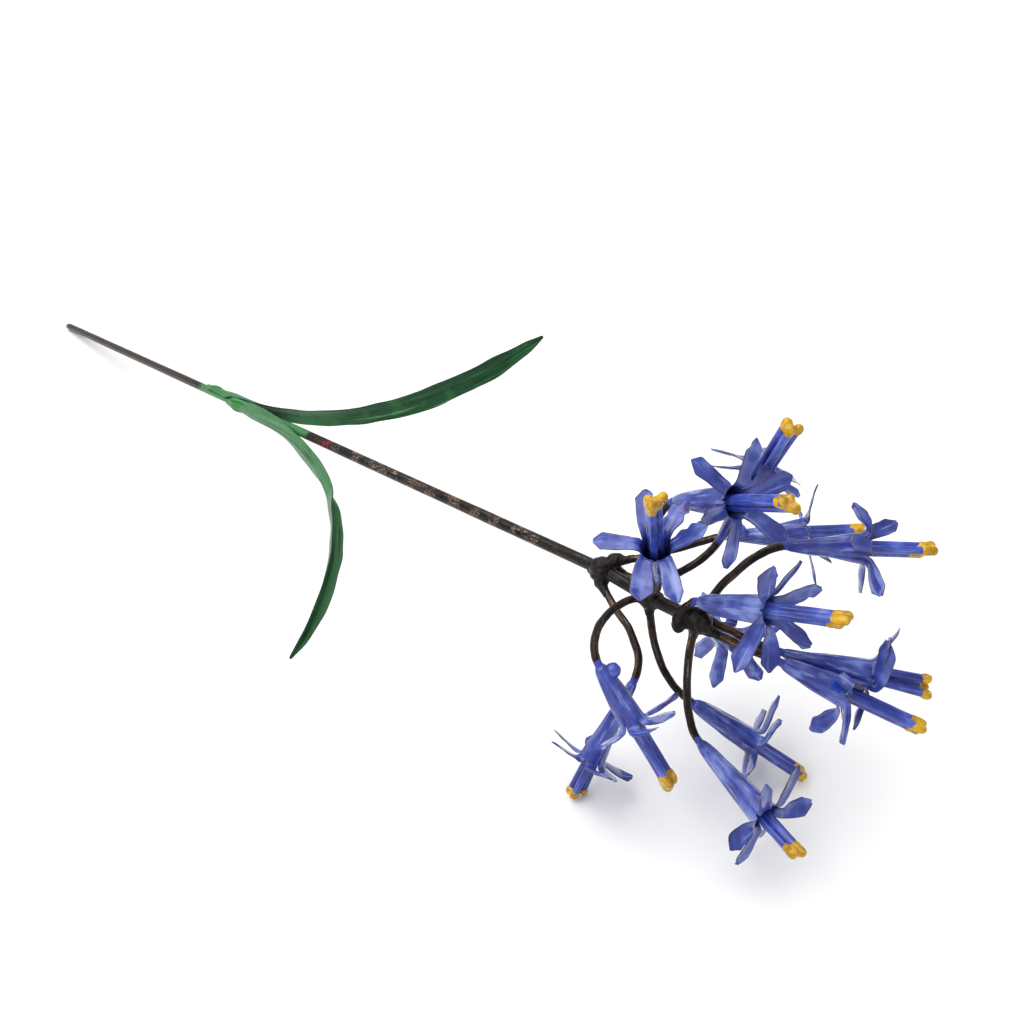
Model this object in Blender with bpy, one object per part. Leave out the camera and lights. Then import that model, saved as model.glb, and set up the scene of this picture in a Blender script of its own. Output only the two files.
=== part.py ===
"""A welded and painted steel agapanthus, lying on its side on a flat surface.

Thirteen florets stand on bent wires, which are joined to a rod stem by three weld beads. Each
floret is a rolled sheet cone cut into six petals, with three rods for stamens and weld metal on
their ends. Two folded leaves clasp the stem. It rests on the stem's cut end and on the tips of
florets j and m.

Sizes are in millimetres and angles in degrees. Places are given from the stem's cut end, with X
along the stem towards the head and Z up, and the whole is then moved so that the origin lies
under the middle of its box.
"""

import math
from dataclasses import dataclass

import bmesh
import bpy
from mathutils import Matrix, Vector

MM = 0.001

# Stock that the flower is made from
STEM_RADIUS = 3.175
WIRE_RADIUS = 1.83
SHEET = 0.9
LEAF_SHEET = 1.0
GAP = 0.3

# Where the middle of the object's box lies, seen from the stem's cut end
MIDDLE = Vector((448.7, 3.6, 0.0))

# Stem: a straight rod, and the weld beads that join the wires to it
STEM_END = Vector((0.0, 0.0, 2.85))
WELDS = {1: Vector((751, -1, 89)), 2: Vector((782, -2, 90)), 3: Vector((810, -3, 93.5))}
BEAD_RADII = {1: (6.6, 6.4, 6.4), 2: (5.4, 5.6, 5.8), 3: (5.9, 5.9, 6.1)}
STEM_SIDES = 10

# Floret: a cone rolled from sheet, with six petals cut in its mouth
CONE_BASE_RADIUS = 2.1
CONE_MOUTH_RADIUS = 6.3
PETALS = 6
PETAL_LENGTH = 22.0
PETAL_BEND = 4.8
PETAL_CURL = 5.0
PETAL_TURN = 9.0
PETAL_TWIST_START = 2.0
PETAL_TWIST_RUN = 8.0
PETAL_CREASE = 0.35
PETAL_SHOULDER = 0.8
# Half widths through the bend, at half length, at the shoulder and at the tip
PETAL_HALF_WIDTHS = (3.0, 2.95, 3.0, 3.5, 3.9, 0.4)
# Weld knob on the side of two of the cones: its middle's distance from the cone's, and its size
KNOB_OUT = 4.1
KNOB_RADII = (3.2, 3.2, 3.5)

# Stamens: three rods round a slim core of weld metal, and the blobs run over their ends
ROD_RADIUS = 1.83
ROD_CIRCLE = 1.95
CORE_RADIUS = 1.25
TIP_LENGTH = 6.0
TIP_RADIUS = 2.35
ROD_SIDES = 8
TIP_SIDES = 7

# Leaves: folded strips that clasp the stem
LEAF_CLASP_SHARE = 0.2
# Half widths of the strip at shares of its length
LEAF_SHARES = (0.0, 0.03, 0.15, 0.35, 0.55, 0.75, 0.88, 0.96, 1.0)
LEAF_HALF_WIDTHS = (4.4, 5.7, 5.9, 6.1, 6.6, 7.6, 6.8, 4.2, 1.0)
LEAF_FOLD = 18.0
LEAF_ROWS = 22
LEAF_SIDE = Vector((0.0, -0.9, -0.437))

WIRE_SIDES = 7
WIRE_STEPS = 11


@dataclass
class Floret:
    """One floret: where it stands, where it aims, how its petals lie and how its wire runs."""

    name: str
    weld: int
    base: tuple
    heading: float
    rise: float
    cone: float
    reach: float
    roll: float
    leans: tuple
    sways: tuple
    wire_aim: tuple
    wire_out: float
    wire_back: float
    seat: tuple = (0, 0, 0)
    lengths: tuple = (PETAL_LENGTH,) * PETALS
    twists: tuple = (0,) * PETALS
    turn: float = 0.0
    splay: tuple = (0, 0, 0)
    knob: tuple = ()
    mouth: float = CONE_MOUTH_RADIUS
    rests: bool = False


FLORETS = (
    Floret("a", 2, (794, -12, 111), -60, 61, 27, 65, roll=40, leans=(95, 50, 72, 80, 85, 95),
           sways=(-10, 15, -5, -20, 0, 20), wire_aim=(-35, 53), wire_out=12, wire_back=8,
           lengths=(22, 22, 18, 22, 21, 22)),
    Floret("b", 2, (790, -1, 144), -4, 24, 34, 65, roll=35, leans=(70, 65, 75, 105, 75, 95),
           sways=(0, 5, -5, 0, -10, 0), wire_aim=(-164, 64), wire_out=23, wire_back=8),
    Floret("c", 1, (801, 20, 122), 11, 69, 38, 69, roll=55, leans=(115, 105, 115, 85, 10, 80),
           sways=(10, 0, 0, 0, -10, 0), lengths=(21, 21, 21, 21, 12, 14),
           twists=(0, 0, 25, 40, 0, 0), wire_aim=(8, -9),
           wire_out=23, wire_back=20, seat=(2, 5.8, -1.5), turn=60, splay=(3, 0, 0)),
    Floret("d", 1, (789, 43, 108), 53, 0, 33, 65, roll=0, leans=(30, 75, 95, 85, 112, 90),
           sways=(0, 10, -5, 0, 0, 0), twists=(0, 0, -27, -24, 0, 21), wire_aim=(34, 8),
           wire_out=21, wire_back=14, seat=(3, 4, 5.5), knob=(4, 200)),
    Floret("e", 3, (826, 32, 125), 52, -4, 32.5, 65, roll=55, leans=(90, 20, 121, 155, 91, 80),
           sways=(20, 0, -4, -15, -6, 10), twists=(0, -60, 30, 0, -20, 0),
           lengths=(22, 22, 19, 18, 20, 20), wire_aim=(96, 44), wire_out=17, wire_back=12),
    Floret("f", 3, (809, -3, 103), 14, 15, 31, 66, roll=30, leans=(60, 50, 55, 75, 100, 85),
           sways=(-5, 0, 0, -25, 30, 5), twists=(0, 0, 0, -60, 50, 45),
           lengths=(23, 23, 21, 23, 29, 21), wire_aim=(-150, 80), wire_out=6, wire_back=4.5,
           seat=(-5, -6, -2.5)),
    Floret("g", 3, (800, 15, 78), 101, -42, 38, 65, roll=55, leans=(50, 90, 150, 85, 85, 75),
           sways=(-10, 20, -5, 0, 5, 0), wire_aim=(120, -40), wire_out=11, wire_back=9),
    Floret("h", 3, (839, 22, 80), 42, -12, 37, 67, roll=30, leans=(65, 43, 61, 98, 80, 90),
           sways=(0, -4, -20, -25, -105, 15), wire_aim=(44, -15), wire_out=17, wire_back=15,
           seat=(-1.5, 1.3, 0.2), turn=180, splay=(3, 0, 0)),
    Floret("i", 3, (843, 16, 80), 32, -19, 27.5, 66, roll=35, leans=(60, -4, 14, 157, 85, 100),
           sways=(-10, 0, 0, -20, 5, 30), twists=(0, 0, 0, 0, 0, -40),
           lengths=(23, 10.5, 10.5, 13, 23, 21), wire_aim=(30, -27), wire_out=18, wire_back=12,
           seat=(1.5, -1.3, -0.2)),
    Floret("j", 2, (808, 4, 41), 40, -34, 34, 68, roll=35, leans=(52, 75, 105, 110, 105, 60),
           sways=(5, 0, 0, -25, -10, 0), wire_aim=(-38, -79), wire_out=26, wire_back=16,
           lengths=(22, 22, 22, 22, 22, 20), mouth=5.6, rests=True),
    Floret("k", 3, (825, -11, 38), -11, -7, 43, 66, roll=25, leans=(105, 85, 100, 90, 75, 85),
           sways=(-5, -5, 0, -10, 5, 10), wire_aim=(-90, -76), wire_out=24, wire_back=12,
           turn=60, mouth=5.9),
    Floret("l", 2, (798, -51, 87), 19, -54, 27.5, 64, roll=0, leans=(61, 60, 79, 97, 91, 103),
           sways=(-12, 0, -12, 12, -30, -30), lengths=(20, 15, 22, 21, 19, 17),
           wire_aim=(-131, 1), wire_out=20, wire_back=14, knob=(5, 150), mouth=5.4),
    Floret("m", 1, (795, -24, 61), -107, -64, 42, 66, roll=5, leans=(73, 103, 115, 110, 80, 85),
           sways=(12, 40, -20, 0, 15, 0), twists=(0, 0, 0, 20, 30, 0),
           lengths=(21, 14, 22, 22, 22, 22), wire_aim=(-20, -28), wire_out=19, wire_back=20,
           seat=(2, -3, -4.5), splay=(3, 0, 0), mouth=5.6, rests=True),
)


def material(name, colour, roughness, metallic=0.0, coat=0.0):
    """A Principled material with one colour."""
    made = bpy.data.materials.new(name)
    made.use_nodes = True
    shader = made.node_tree.nodes["Principled BSDF"]
    shader.inputs["Base Color"].default_value = (*colour, 1.0)
    shader.inputs["Roughness"].default_value = roughness
    shader.inputs["Metallic"].default_value = metallic
    shader.inputs["Coat Weight"].default_value = coat
    made.diffuse_color = (*colour, 1.0)
    return made


def mesh_from(name, points, faces):
    """A mesh from points in millimetres, with every face facing out."""
    mesh = bpy.data.meshes.new(name)
    mesh.from_pydata([tuple(Vector(p) * MM) for p in points], [], faces)
    shape = bmesh.new()
    shape.from_mesh(mesh)
    bmesh.ops.recalc_face_normals(shape, faces=shape.faces)
    shape.to_mesh(mesh)
    shape.free()
    return mesh


def place(name, mesh, finish, parent):
    """An object for the mesh under its parent, shaded smooth except at sharp edges."""
    made = bpy.data.objects.new(name, mesh)
    bpy.context.scene.collection.objects.link(made)
    made.parent = parent
    mesh.materials.clear()
    mesh.materials.append(finish)
    mesh.shade_smooth()
    mesh.set_sharp_from_angle(angle=math.radians(40))
    return made


def empty(name, matrix, parent=None):
    """An empty that carries a group of pieces."""
    made = bpy.data.objects.new(name, None)
    made.empty_display_size = 0.02
    bpy.context.scene.collection.objects.link(made)
    made.parent = parent
    made.matrix_basis = matrix
    return made


def settled(obj):
    """The object's mesh with its modifiers applied, in place of the object."""
    bpy.context.view_layer.update()
    graph = bpy.context.evaluated_depsgraph_get()
    mesh = bpy.data.meshes.new_from_object(obj.evaluated_get(graph))
    bpy.data.objects.remove(obj)
    return mesh


def fused(name, meshes):
    """One mesh that joins the others by a Boolean union."""
    group = bpy.data.collections.new(name + "_repeats")
    bpy.context.scene.collection.children.link(group)
    first = bpy.data.objects.new(name, meshes[0])
    bpy.context.scene.collection.objects.link(first)
    for mesh in meshes[1:]:
        group.objects.link(bpy.data.objects.new(name + "_piece", mesh))
    union = first.modifiers.new("Union", "BOOLEAN")
    union.operation = "UNION"
    union.operand_type = "COLLECTION"
    union.collection = group
    union.solver = "EXACT"
    mesh = settled(first)
    for piece in list(group.objects):
        bpy.data.objects.remove(piece)
    bpy.data.collections.remove(group)
    return mesh


def cut_away(obj, cutter):
    """Takes the cutter's shape out of the object with a Boolean."""
    cut = obj.modifiers.new("Trim", "BOOLEAN")
    cut.operation = "DIFFERENCE"
    cut.object = cutter
    cut.solver = "EXACT"


def direction(heading, rise):
    """The unit vector at a compass heading round Z and a rise above the ground."""
    flat = math.cos(math.radians(rise))
    turned = math.radians(heading)
    return Vector((math.cos(turned) * flat, math.sin(turned) * flat, math.sin(math.radians(rise))))


def bezier(ends, share):
    """The point of a cubic curve at a share of its run."""
    a, b, c, d = ends
    rest = 1 - share
    return a * rest**3 + b * 3 * rest**2 * share + c * 3 * rest * share**2 + d * share**3


def ring(centre, along, radius, sides):
    """Points of a regular ring round a centre, square to a direction."""
    side = along.cross(Vector((0.0, 0.0, 1.0)))
    if side.length < 0.2:
        side = along.cross(Vector((1.0, 0.0, 0.0)))
    side.normalize()
    up = along.cross(side).normalized()
    turns = [math.tau * k / sides for k in range(sides)]
    return [centre + radius * (math.cos(t) * side + math.sin(t) * up) for t in turns]


def skin(rings, closed_ends=True):
    """Points and faces of a closed tube through rings of equal count."""
    sides = len(rings[0])
    points = [p for r in rings for p in r]
    faces = []
    for row in range(len(rings) - 1):
        for k in range(sides):
            near, far = row * sides, (row + 1) * sides
            faces.append((near + k, near + (k + 1) % sides, far + (k + 1) % sides, far + k))
    if closed_ends:
        faces.append(tuple(range(sides)))
        faces.append(tuple(range(len(points) - sides, len(points))))
    return points, faces


def tube(path, radius, sides, last_aim=None):
    """A round tube with flat ends along a path, its rings turned as little as possible."""
    along = (path[1] - path[0]).normalized()
    rings = [ring(path[0], along, radius, sides)]
    spokes = [p - path[0] for p in rings[0]]
    for k in range(1, len(path)):
        ahead = (path[min(k + 1, len(path) - 1)] - path[k - 1]).normalized()
        if last_aim and k == len(path) - 1:
            ahead = last_aim
        turn = along.rotation_difference(ahead)
        spokes = [turn @ s for s in spokes]
        rings.append([path[k] + s for s in spokes])
        along = ahead
    return skin(rings)


def bead(centre, radii):
    """A lumpy ball of weld metal."""
    shape = bmesh.new()
    bmesh.ops.create_icosphere(shape, subdivisions=2, radius=1.0)
    points = []
    for k, vert in enumerate(shape.verts):
        lump = 1.0 - 0.05 * (1 + math.sin(5.0 * k))
        points.append(centre + lump * Vector(r * c for r, c in zip(radii, vert.co)))
    faces = [tuple(v.index for v in f.verts) for f in shape.faces]
    shape.free()
    return points, faces


def stem_mesh(name, grow=0.0):
    """The rod and its three beads as one body, larger all round by grow."""
    path = [STEM_END] + [WELDS[k] for k in sorted(WELDS)]
    parts = [mesh_from(name + "_rod", *tube(path, STEM_RADIUS + grow, STEM_SIDES))]
    for k, centre in WELDS.items():
        radii = [r + grow for r in BEAD_RADII[k]]
        parts.append(mesh_from(f"{name}_bead_{k}", *bead(centre, radii)))
    return fused(name, parts)


def flattened(mesh, to_ground):
    """Cuts off what lies below the ground, leaving a small flat spot. to_ground maps the mesh there."""
    back = to_ground.inverted()
    shape = bmesh.new()
    shape.from_mesh(mesh)
    geometry = shape.verts[:] + shape.edges[:] + shape.faces[:]
    down = (back.to_3x3() @ Vector((0, 0, -1))).normalized()
    cut = bmesh.ops.bisect_plane(
        shape, geom=geometry, dist=1e-6, plane_co=back.translation, plane_no=down, clear_outer=True
    )
    edges = [e for e in cut["geom_cut"] if isinstance(e, bmesh.types.BMEdge)]
    bmesh.ops.holes_fill(shape, edges=edges)
    bmesh.ops.recalc_face_normals(shape, faces=shape.faces)
    shape.to_mesh(mesh)
    shape.free()
    return mesh


def floret_matrix(floret):
    """Puts +Z along the floret and its X side down, with the origin on its closed base."""
    turn = Matrix.Rotation(math.radians(floret.heading), 4, "Z")
    tilt = Matrix.Rotation(math.radians(90 - floret.rise), 4, "Y")
    return Matrix.Translation(Vector(floret.base) * MM) @ turn @ tilt


def ease(share):
    """A share from 0 to 1 that starts and ends gently."""
    share = min(max(share, 0.0), 1.0)
    return share * share * (3 - 2 * share)


def petal_rows(floret, k):
    """For each row of petal k past the rim: its left, middle and right points."""
    azimuth = math.radians(floret.roll + 360 * k / PETALS)
    length = floret.lengths[k]
    flare = math.degrees(math.atan2(floret.mouth - CONE_BASE_RADIUS, floret.cone))
    stations = [PETAL_BEND * share / 3 for share in (1, 2, 3)]
    stations += [length * 0.5, length * PETAL_SHOULDER, length]
    middle = Vector((math.cos(azimuth), math.sin(azimuth), 0)) * floret.mouth
    middle.z = floret.cone
    step = 0.2
    travelled = 0.0
    rows = []
    for station, half in zip(stations, PETAL_HALF_WIDTHS):
        if station <= PETAL_BEND:
            half *= floret.mouth / CONE_MOUTH_RADIUS
        while travelled < station:
            run = min(step, station - travelled)
            bent = ease((travelled + run / 2) / PETAL_BEND)
            lean = flare + (floret.leans[k] - flare) * bent
            lean = math.radians(lean + PETAL_CURL * (travelled / length) ** 2)
            turned = azimuth + math.radians(floret.sways[k]) * ease((travelled + run / 2) / PETAL_TURN)
            out = Vector((math.cos(turned), math.sin(turned), 0))
            middle = middle + run * (math.sin(lean) * out + Vector((0, 0, math.cos(lean))))
            travelled += run
        ahead = Vector((0, 0, math.cos(lean))) + math.sin(lean) * out
        twisted = math.radians(floret.twists[k]) * ease((travelled - PETAL_TWIST_START) / PETAL_TWIST_RUN)
        turn = Matrix.Rotation(twisted, 3, ahead)
        across = turn @ Vector((-out.y, out.x, 0))
        inward = turn @ (Vector((0, 0, math.sin(lean))) - math.cos(lean) * out)
        round_sag = floret.mouth * (1 - math.cos(math.pi / PETALS))
        sag = PETAL_CREASE + (round_sag - PETAL_CREASE) * (1 - ease(travelled / PETAL_BEND))
        if station == length:
            sag = 0.0
        edge = inward * sag
        rows.append((middle - half * across + edge, middle.copy(), middle + half * across + edge))
    return rows


def corolla_sheet(floret):
    """The middle surface of cone and petals: points and triangles, three columns to a petal."""
    columns = 2 * PETALS
    points = [Vector((0, 0, SHEET / 2))]
    for radius, height in ((CONE_BASE_RADIUS, SHEET / 2), (floret.mouth, floret.cone)):
        for column in range(columns):
            azimuth = math.radians(floret.roll + (column - 1) * 360 / columns)
            points.append(Vector((radius * math.cos(azimuth), radius * math.sin(azimuth), height)))
    faces = []
    for column in range(columns):
        after = (column + 1) % columns
        low, high = 1 + column, 1 + columns + column
        low_after, high_after = 1 + after, 1 + columns + after
        faces.append((0, low_after, low))
        faces.append((low, low_after, high))
        faces.append((low_after, high_after, high))
    for k in range(PETALS):
        first = 1 + columns
        row = [first + (2 * k + j) % columns for j in range(3)]
        for row_points in petal_rows(floret, k):
            start = len(points)
            points.extend(row_points)
            fresh = [start, start + 1, start + 2]
            faces += [(row[0], row[1], fresh[0]), (row[1], fresh[1], fresh[0])]
            faces += [(row[1], row[2], fresh[2]), (row[1], fresh[2], fresh[1])]
            row = fresh
    return points, faces


def corolla_mesh(floret):
    """The sheet given its thickness, with a weld knob on its side where it has one."""
    name = "corolla_" + floret.name
    sheet = bpy.data.objects.new(name, mesh_from(name, *corolla_sheet(floret)))
    bpy.context.scene.collection.objects.link(sheet)
    solid = sheet.modifiers.new("Thickness", "SOLIDIFY")
    solid.thickness = SHEET * MM
    solid.offset = 0.0
    solid.use_even_offset = True
    mesh = settled(sheet)
    if not floret.knob:
        return mesh
    height, side = floret.knob
    away = direction(side, 0) * KNOB_OUT
    ball = mesh_from(name + "_knob", *bead(away + Vector((0, 0, height)), KNOB_RADII))
    return fused(name, [mesh, ball])


def rods_start(floret):
    """How far up the cone its inside first takes the three rods, with a gap to its wall."""
    needed = (ROD_CIRCLE + ROD_RADIUS + GAP + SHEET / 2) / math.cos(math.pi / (2 * PETALS))
    return floret.cone * (needed - CONE_BASE_RADIUS) / (floret.mouth - CONE_BASE_RADIUS)


def rod_ends(floret, k):
    """Where stamen rod k starts and where its blue part ends, in the floret's own axes."""
    side = direction(floret.turn + 120 * k, 0)
    low = side * ROD_CIRCLE
    low.z = rods_start(floret) + 0.5 * k
    high = side * (ROD_CIRCLE + floret.splay[k])
    high.z = floret.reach - TIP_LENGTH
    return low, high


def stamen_mesh(floret):
    """Three rods side by side, held together by a slim core between them."""
    name = "stamens_" + floret.name
    parts = []
    for k in range(3):
        parts.append(mesh_from(name, *tube(list(rod_ends(floret, k)), ROD_RADIUS, ROD_SIDES)))
    low = Vector((0, 0, rods_start(floret) + 1.5))
    together = 0.25 if max(floret.splay) else 0.97
    high = Vector((0, 0, low.z + (floret.reach - TIP_LENGTH - low.z) * together))
    parts.append(mesh_from(name, *tube([low, high], CORE_RADIUS, 6)))
    return fused(name, parts)


def tip_blob(floret, k):
    """Weld metal run over the end of rod k: a blunt drop, a gap clear of the rod's face."""
    low, high = rod_ends(floret, k)
    along = (high - low).normalized()
    rings = []
    for share, radius in ((0, 0.86), (0.3, 1.0), (0.7, 0.92), (0.95, 0.5)):
        centre = high + along * (GAP + share * TIP_LENGTH)
        rings.append(ring(centre, along, radius * TIP_RADIUS, TIP_SIDES))
    return mesh_from(f"tip_{floret.name}_{k}", *skin(rings))


def tip_meshes(floret):
    """The blobs of a floret: those that touch are one body, and a splayed rod's is its own."""
    apart = [k for k in range(3) if floret.splay[k] > 2]
    together = [tip_blob(floret, k) for k in range(3) if k not in apart]
    meshes = {"tips_" + floret.name: fused("tips_" + floret.name, together)}
    for k in apart:
        meshes["tip_apart_" + floret.name] = tip_blob(floret, k)
    return meshes


def wire_path(floret):
    """The bent wire's centre line, from inside its weld bead to just short of the floret's base."""
    start = WELDS[floret.weld] + Vector(floret.seat)
    aim = direction(floret.heading, floret.rise)
    end = Vector(floret.base) - aim * GAP
    ends = (start, start + direction(*floret.wire_aim) * floret.wire_out, end - aim * floret.wire_back, end)
    return [bezier(ends, k / WIRE_STEPS) for k in range(WIRE_STEPS + 1)]


def leaf_spine(side_sign, run, share):
    """A point of the leaf's crease, its direction and how far it has opened from its clasp."""
    stem = (WELDS[1] - STEM_END).normalized()
    away = (LEAF_SIDE * side_sign).normalized()
    away = (away - stem * away.dot(stem)).normalized()
    ends = [Vector((p[0], p[1], 0)) for p in run[1:]]
    if share < LEAF_CLASP_SHARE:
        along = run[0] + (run[1][0] - run[0]) * share / LEAF_CLASP_SHARE
        flat = Vector((along, run[1][1], 0))
        ahead = Vector((1, 0, 0))
    else:
        part = (share - LEAF_CLASP_SHARE) / (1 - LEAF_CLASP_SHARE)
        flat = bezier(ends, part)
        ahead = (bezier(ends, part + 0.01) - bezier(ends, part - 0.01)).normalized()
    point = STEM_END + stem * flat.x + away * flat.y
    forward = (stem * ahead.x + away * ahead.y).normalized()
    inward = (stem * ahead.y - away * ahead.x).normalized()
    return point, forward, inward


def leaf_half_width(share):
    """Half of the strip's width: narrow at the clasp, broadest near its end and then a blunt point."""
    for k in range(1, len(LEAF_SHARES)):
        if share <= LEAF_SHARES[k]:
            part = (share - LEAF_SHARES[k - 1]) / (LEAF_SHARES[k] - LEAF_SHARES[k - 1])
            return LEAF_HALF_WIDTHS[k - 1] + (LEAF_HALF_WIDTHS[k] - LEAF_HALF_WIDTHS[k - 1]) * part
    return LEAF_HALF_WIDTHS[-1]


def leaf_twist(twists, share):
    """How far the strip is turned about its crease: one angle past the clasp, another further on."""
    further = ease((share - 0.45) / 0.25)
    return ease((share - LEAF_CLASP_SHARE) / 0.2) * (twists[0] * (1 - further) + twists[1] * further)


def leaf_sheet(side_sign, twists, run):
    """The leaf's middle surface: five columns across, curled to a clasp at first and then a V."""
    clasp = run[1][1]
    points = []
    faces = []
    for row in range(LEAF_ROWS + 1):
        share = row / LEAF_ROWS
        point, forward, inward = leaf_spine(side_sign, run, share)
        turn = Matrix.Rotation(math.radians(leaf_twist(twists, share)), 3, forward)
        inward = turn @ inward
        across = forward.cross(inward).normalized()
        half = leaf_half_width(share)
        opened = ease((share - LEAF_CLASP_SHARE) / 0.2)
        fold = math.radians(LEAF_FOLD)
        for j in range(-2, 3):
            width = half * j / 2
            bent = width / clasp
            curled = across * clasp * math.sin(bent) + inward * clasp * (1 - math.cos(bent))
            folded = across * width * math.cos(fold) + inward * abs(width) * math.sin(fold)
            points.append(point + curled.lerp(folded, opened))
        if row == 0:
            continue
        for j in range(4):
            near = (row - 1) * 5 + j
            far = row * 5 + j
            if j < 2:
                faces += [(near, near + 1, far + 1), (near, far + 1, far)]
            else:
                faces += [(near, near + 1, far), (near + 1, far + 1, far)]
    return points, faces


# The two leaves: side of the stem, twists, and the run of the crease: where the clasp starts along
# the stem, then the four points of a curve as (distance along the stem, distance from its middle)
CLASP = STEM_RADIUS + GAP + LEAF_SHEET / 2 + 0.05
LEAVES = {
    "leaf_lower": (1, (-26, 14), (362, (408, CLASP), (530, 5), (606, 54), (632, 123))),
    "leaf_upper": (-1, (-14, -14), (322, (370, CLASP), (500, 4), (560, 50), (587, 133))),
}


def build():
    for obj in list(bpy.data.objects):
        bpy.data.objects.remove(obj)
    dark_steel = material("dark_steel", (0.035, 0.028, 0.024), 0.45, metallic=0.6)
    blue = material("blue_enamel", (0.13, 0.15, 0.55), 0.3, coat=0.5)
    yellow = material("yellow_enamel", (0.72, 0.36, 0.02), 0.4, coat=0.3)
    green = material("green_enamel", (0.04, 0.22, 0.08), 0.35, coat=0.4)
    ground = Matrix.Translation(-MIDDLE * MM)
    root = empty("agapanthus", ground)

    place("stem", flattened(stem_mesh("stem"), Matrix()), dark_steel, root)
    cutter = place("stem_clearance", stem_mesh("stem_clearance", GAP), dark_steel, root)
    cutter.hide_render = True
    cutter.display_type = "WIRE"

    for name, shape in LEAVES.items():
        leaf = place(name, mesh_from(name, *leaf_sheet(*shape)), green, root)
        solid = leaf.modifiers.new("Thickness", "SOLIDIFY")
        solid.thickness = LEAF_SHEET * MM
        solid.offset = 0.0
        solid.use_even_offset = True

    for floret in FLORETS:
        stands = floret_matrix(floret)
        holder = empty("floret_" + floret.name, stands, root)
        name = "pedicel_" + floret.name
        aim = direction(floret.heading, floret.rise)
        wire_shape = tube(wire_path(floret), WIRE_RADIUS, WIRE_SIDES, last_aim=aim)
        wire = place(name, mesh_from(name, *wire_shape), dark_steel, root)
        cut_away(wire, cutter)
        corolla = corolla_mesh(floret)
        if floret.rests:
            flattened(corolla, stands)
        place("corolla_" + floret.name, corolla, blue, holder)
        place("stamens_" + floret.name, stamen_mesh(floret), blue, holder)
        for name, mesh in tip_meshes(floret).items():
            if floret.rests:
                flattened(mesh, stands)
            place(name, mesh, yellow, holder)


build()
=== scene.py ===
import math
from dataclasses import dataclass

import bmesh
import bpy
from mathutils import Matrix, Vector, noise


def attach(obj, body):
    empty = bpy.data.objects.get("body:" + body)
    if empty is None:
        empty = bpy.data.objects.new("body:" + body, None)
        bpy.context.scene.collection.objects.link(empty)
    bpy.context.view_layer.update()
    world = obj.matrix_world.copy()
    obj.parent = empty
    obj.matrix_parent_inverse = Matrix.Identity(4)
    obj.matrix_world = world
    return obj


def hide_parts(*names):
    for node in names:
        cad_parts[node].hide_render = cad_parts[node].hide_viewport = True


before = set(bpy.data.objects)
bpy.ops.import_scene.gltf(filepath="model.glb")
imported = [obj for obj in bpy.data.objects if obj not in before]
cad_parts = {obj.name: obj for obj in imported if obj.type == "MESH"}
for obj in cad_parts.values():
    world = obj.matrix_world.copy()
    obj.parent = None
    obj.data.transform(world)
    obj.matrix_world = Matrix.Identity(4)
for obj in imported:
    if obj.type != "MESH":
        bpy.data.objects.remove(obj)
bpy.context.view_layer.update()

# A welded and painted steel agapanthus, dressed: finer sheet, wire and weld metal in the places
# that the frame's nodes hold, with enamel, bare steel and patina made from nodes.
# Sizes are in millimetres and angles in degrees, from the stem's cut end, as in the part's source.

# Stock and places, as in the part's source
MM = 0.001
STEM_RADIUS = 3.175
WIRE_RADIUS = 1.83
SHEET = 0.9
LEAF_SHEET = 1.0
GAP = 0.3
MIDDLE = Vector((448.7, 3.6, 0.0))
STEM_END = Vector((0.0, 0.0, 2.85))
WELDS = {1: Vector((751, -1, 89)), 2: Vector((782, -2, 90)), 3: Vector((810, -3, 93.5))}
BEAD_RADII = {1: (6.6, 6.4, 6.4), 2: (5.4, 5.6, 5.8), 3: (5.9, 5.9, 6.1)}

# Share of the sheets' thickness that is drawn
SHEET_SHARE = 0.85
LEAF_SHEET_SHARE = 0.9
# Values of near_edge, in millimetres: on plain sheet, along a seam and in a groove between rods; the
# groove's low value paints shade there
NO_EDGE = 5.0
SEAM_EDGE = 0.12
GROOVE_SHADE = 0.03
# How much the grain is drawn out along a cone, a rod or a wire, and how far it is moved for each
GRAIN_STRETCH = 0.06
GRAIN_SHIFT = 3.0

# Cones
CONE_BASE_RADIUS = 2.1
CONE_MOUTH_RADIUS = 6.3
CONE_ROWS = 14
# Share of a full hexagon that a cone's mouth is pressed to
CONE_FACETS = 0.35
# Dents, ridges and laps fade in from the base, and end at this share of the cone's height
CONE_UNEVEN_TO = 0.87
CONE_FADE = 1.15
CONE_FADE_POWER = 0.7
DENT = 0.3
RIDGE = 0.5
# How far a seam's lap stands out, over how many degrees, and where from the base it shows
SEAM_LAP = 0.8
SEAM_LAPS = {"f": 1.7}
SEAM_WIDTH = 40.0
SEAM_FROM = 0.03
# Where a cone's seam lies round it, in degrees; the other florets follow their number
SEAMS = {"a": 263, "f": 285, "e": 210, "b": 250}
SEAM_STEP = 83
# How much fuller than a straight cone a floret is, most of all near its base
BELLIES = {"a": 0.4, "b": 1.0, "f": 1.0, "i": 0.8, "j": 1.1, "k": 0.7, "l": 1.0, "g": 0.5}
BELLY_POWER = 0.55
# Weld knob on two of the cones: its distance out, its size, and the size, depth and rises of its foot
KNOB_OUT = 4.1
KNOB_RADIUS = 3.4
KNOB_FOOT_RADIUS = 2.4
KNOB_FOOT_DEPTH = 2.0
KNOB_FOOT_RISES = (0.0, 1.5, 3.0)

# Petals
PETALS = 6
PETAL_LENGTH = 22.0
PETAL_BEND = 4.8
PETAL_CURL = 5.0
PETAL_TURN = 9.0
PETAL_TWIST_START = 2.0
PETAL_TWIST_RUN = 8.0
PETAL_CREASE = 0.7
PETAL_CREASE_POWER = 1.25
PETAL_BUCKLE = 0.75
PETAL_COLUMNS = 6
# Rows of points along a petal: through its bend, to its shoulders, past them and to its tip
PETAL_ROWS = (5, 6, 6, 3)
PETAL_ROW_SHARES = (0.7, 0.92)
PETAL_STEP = 0.1
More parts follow.
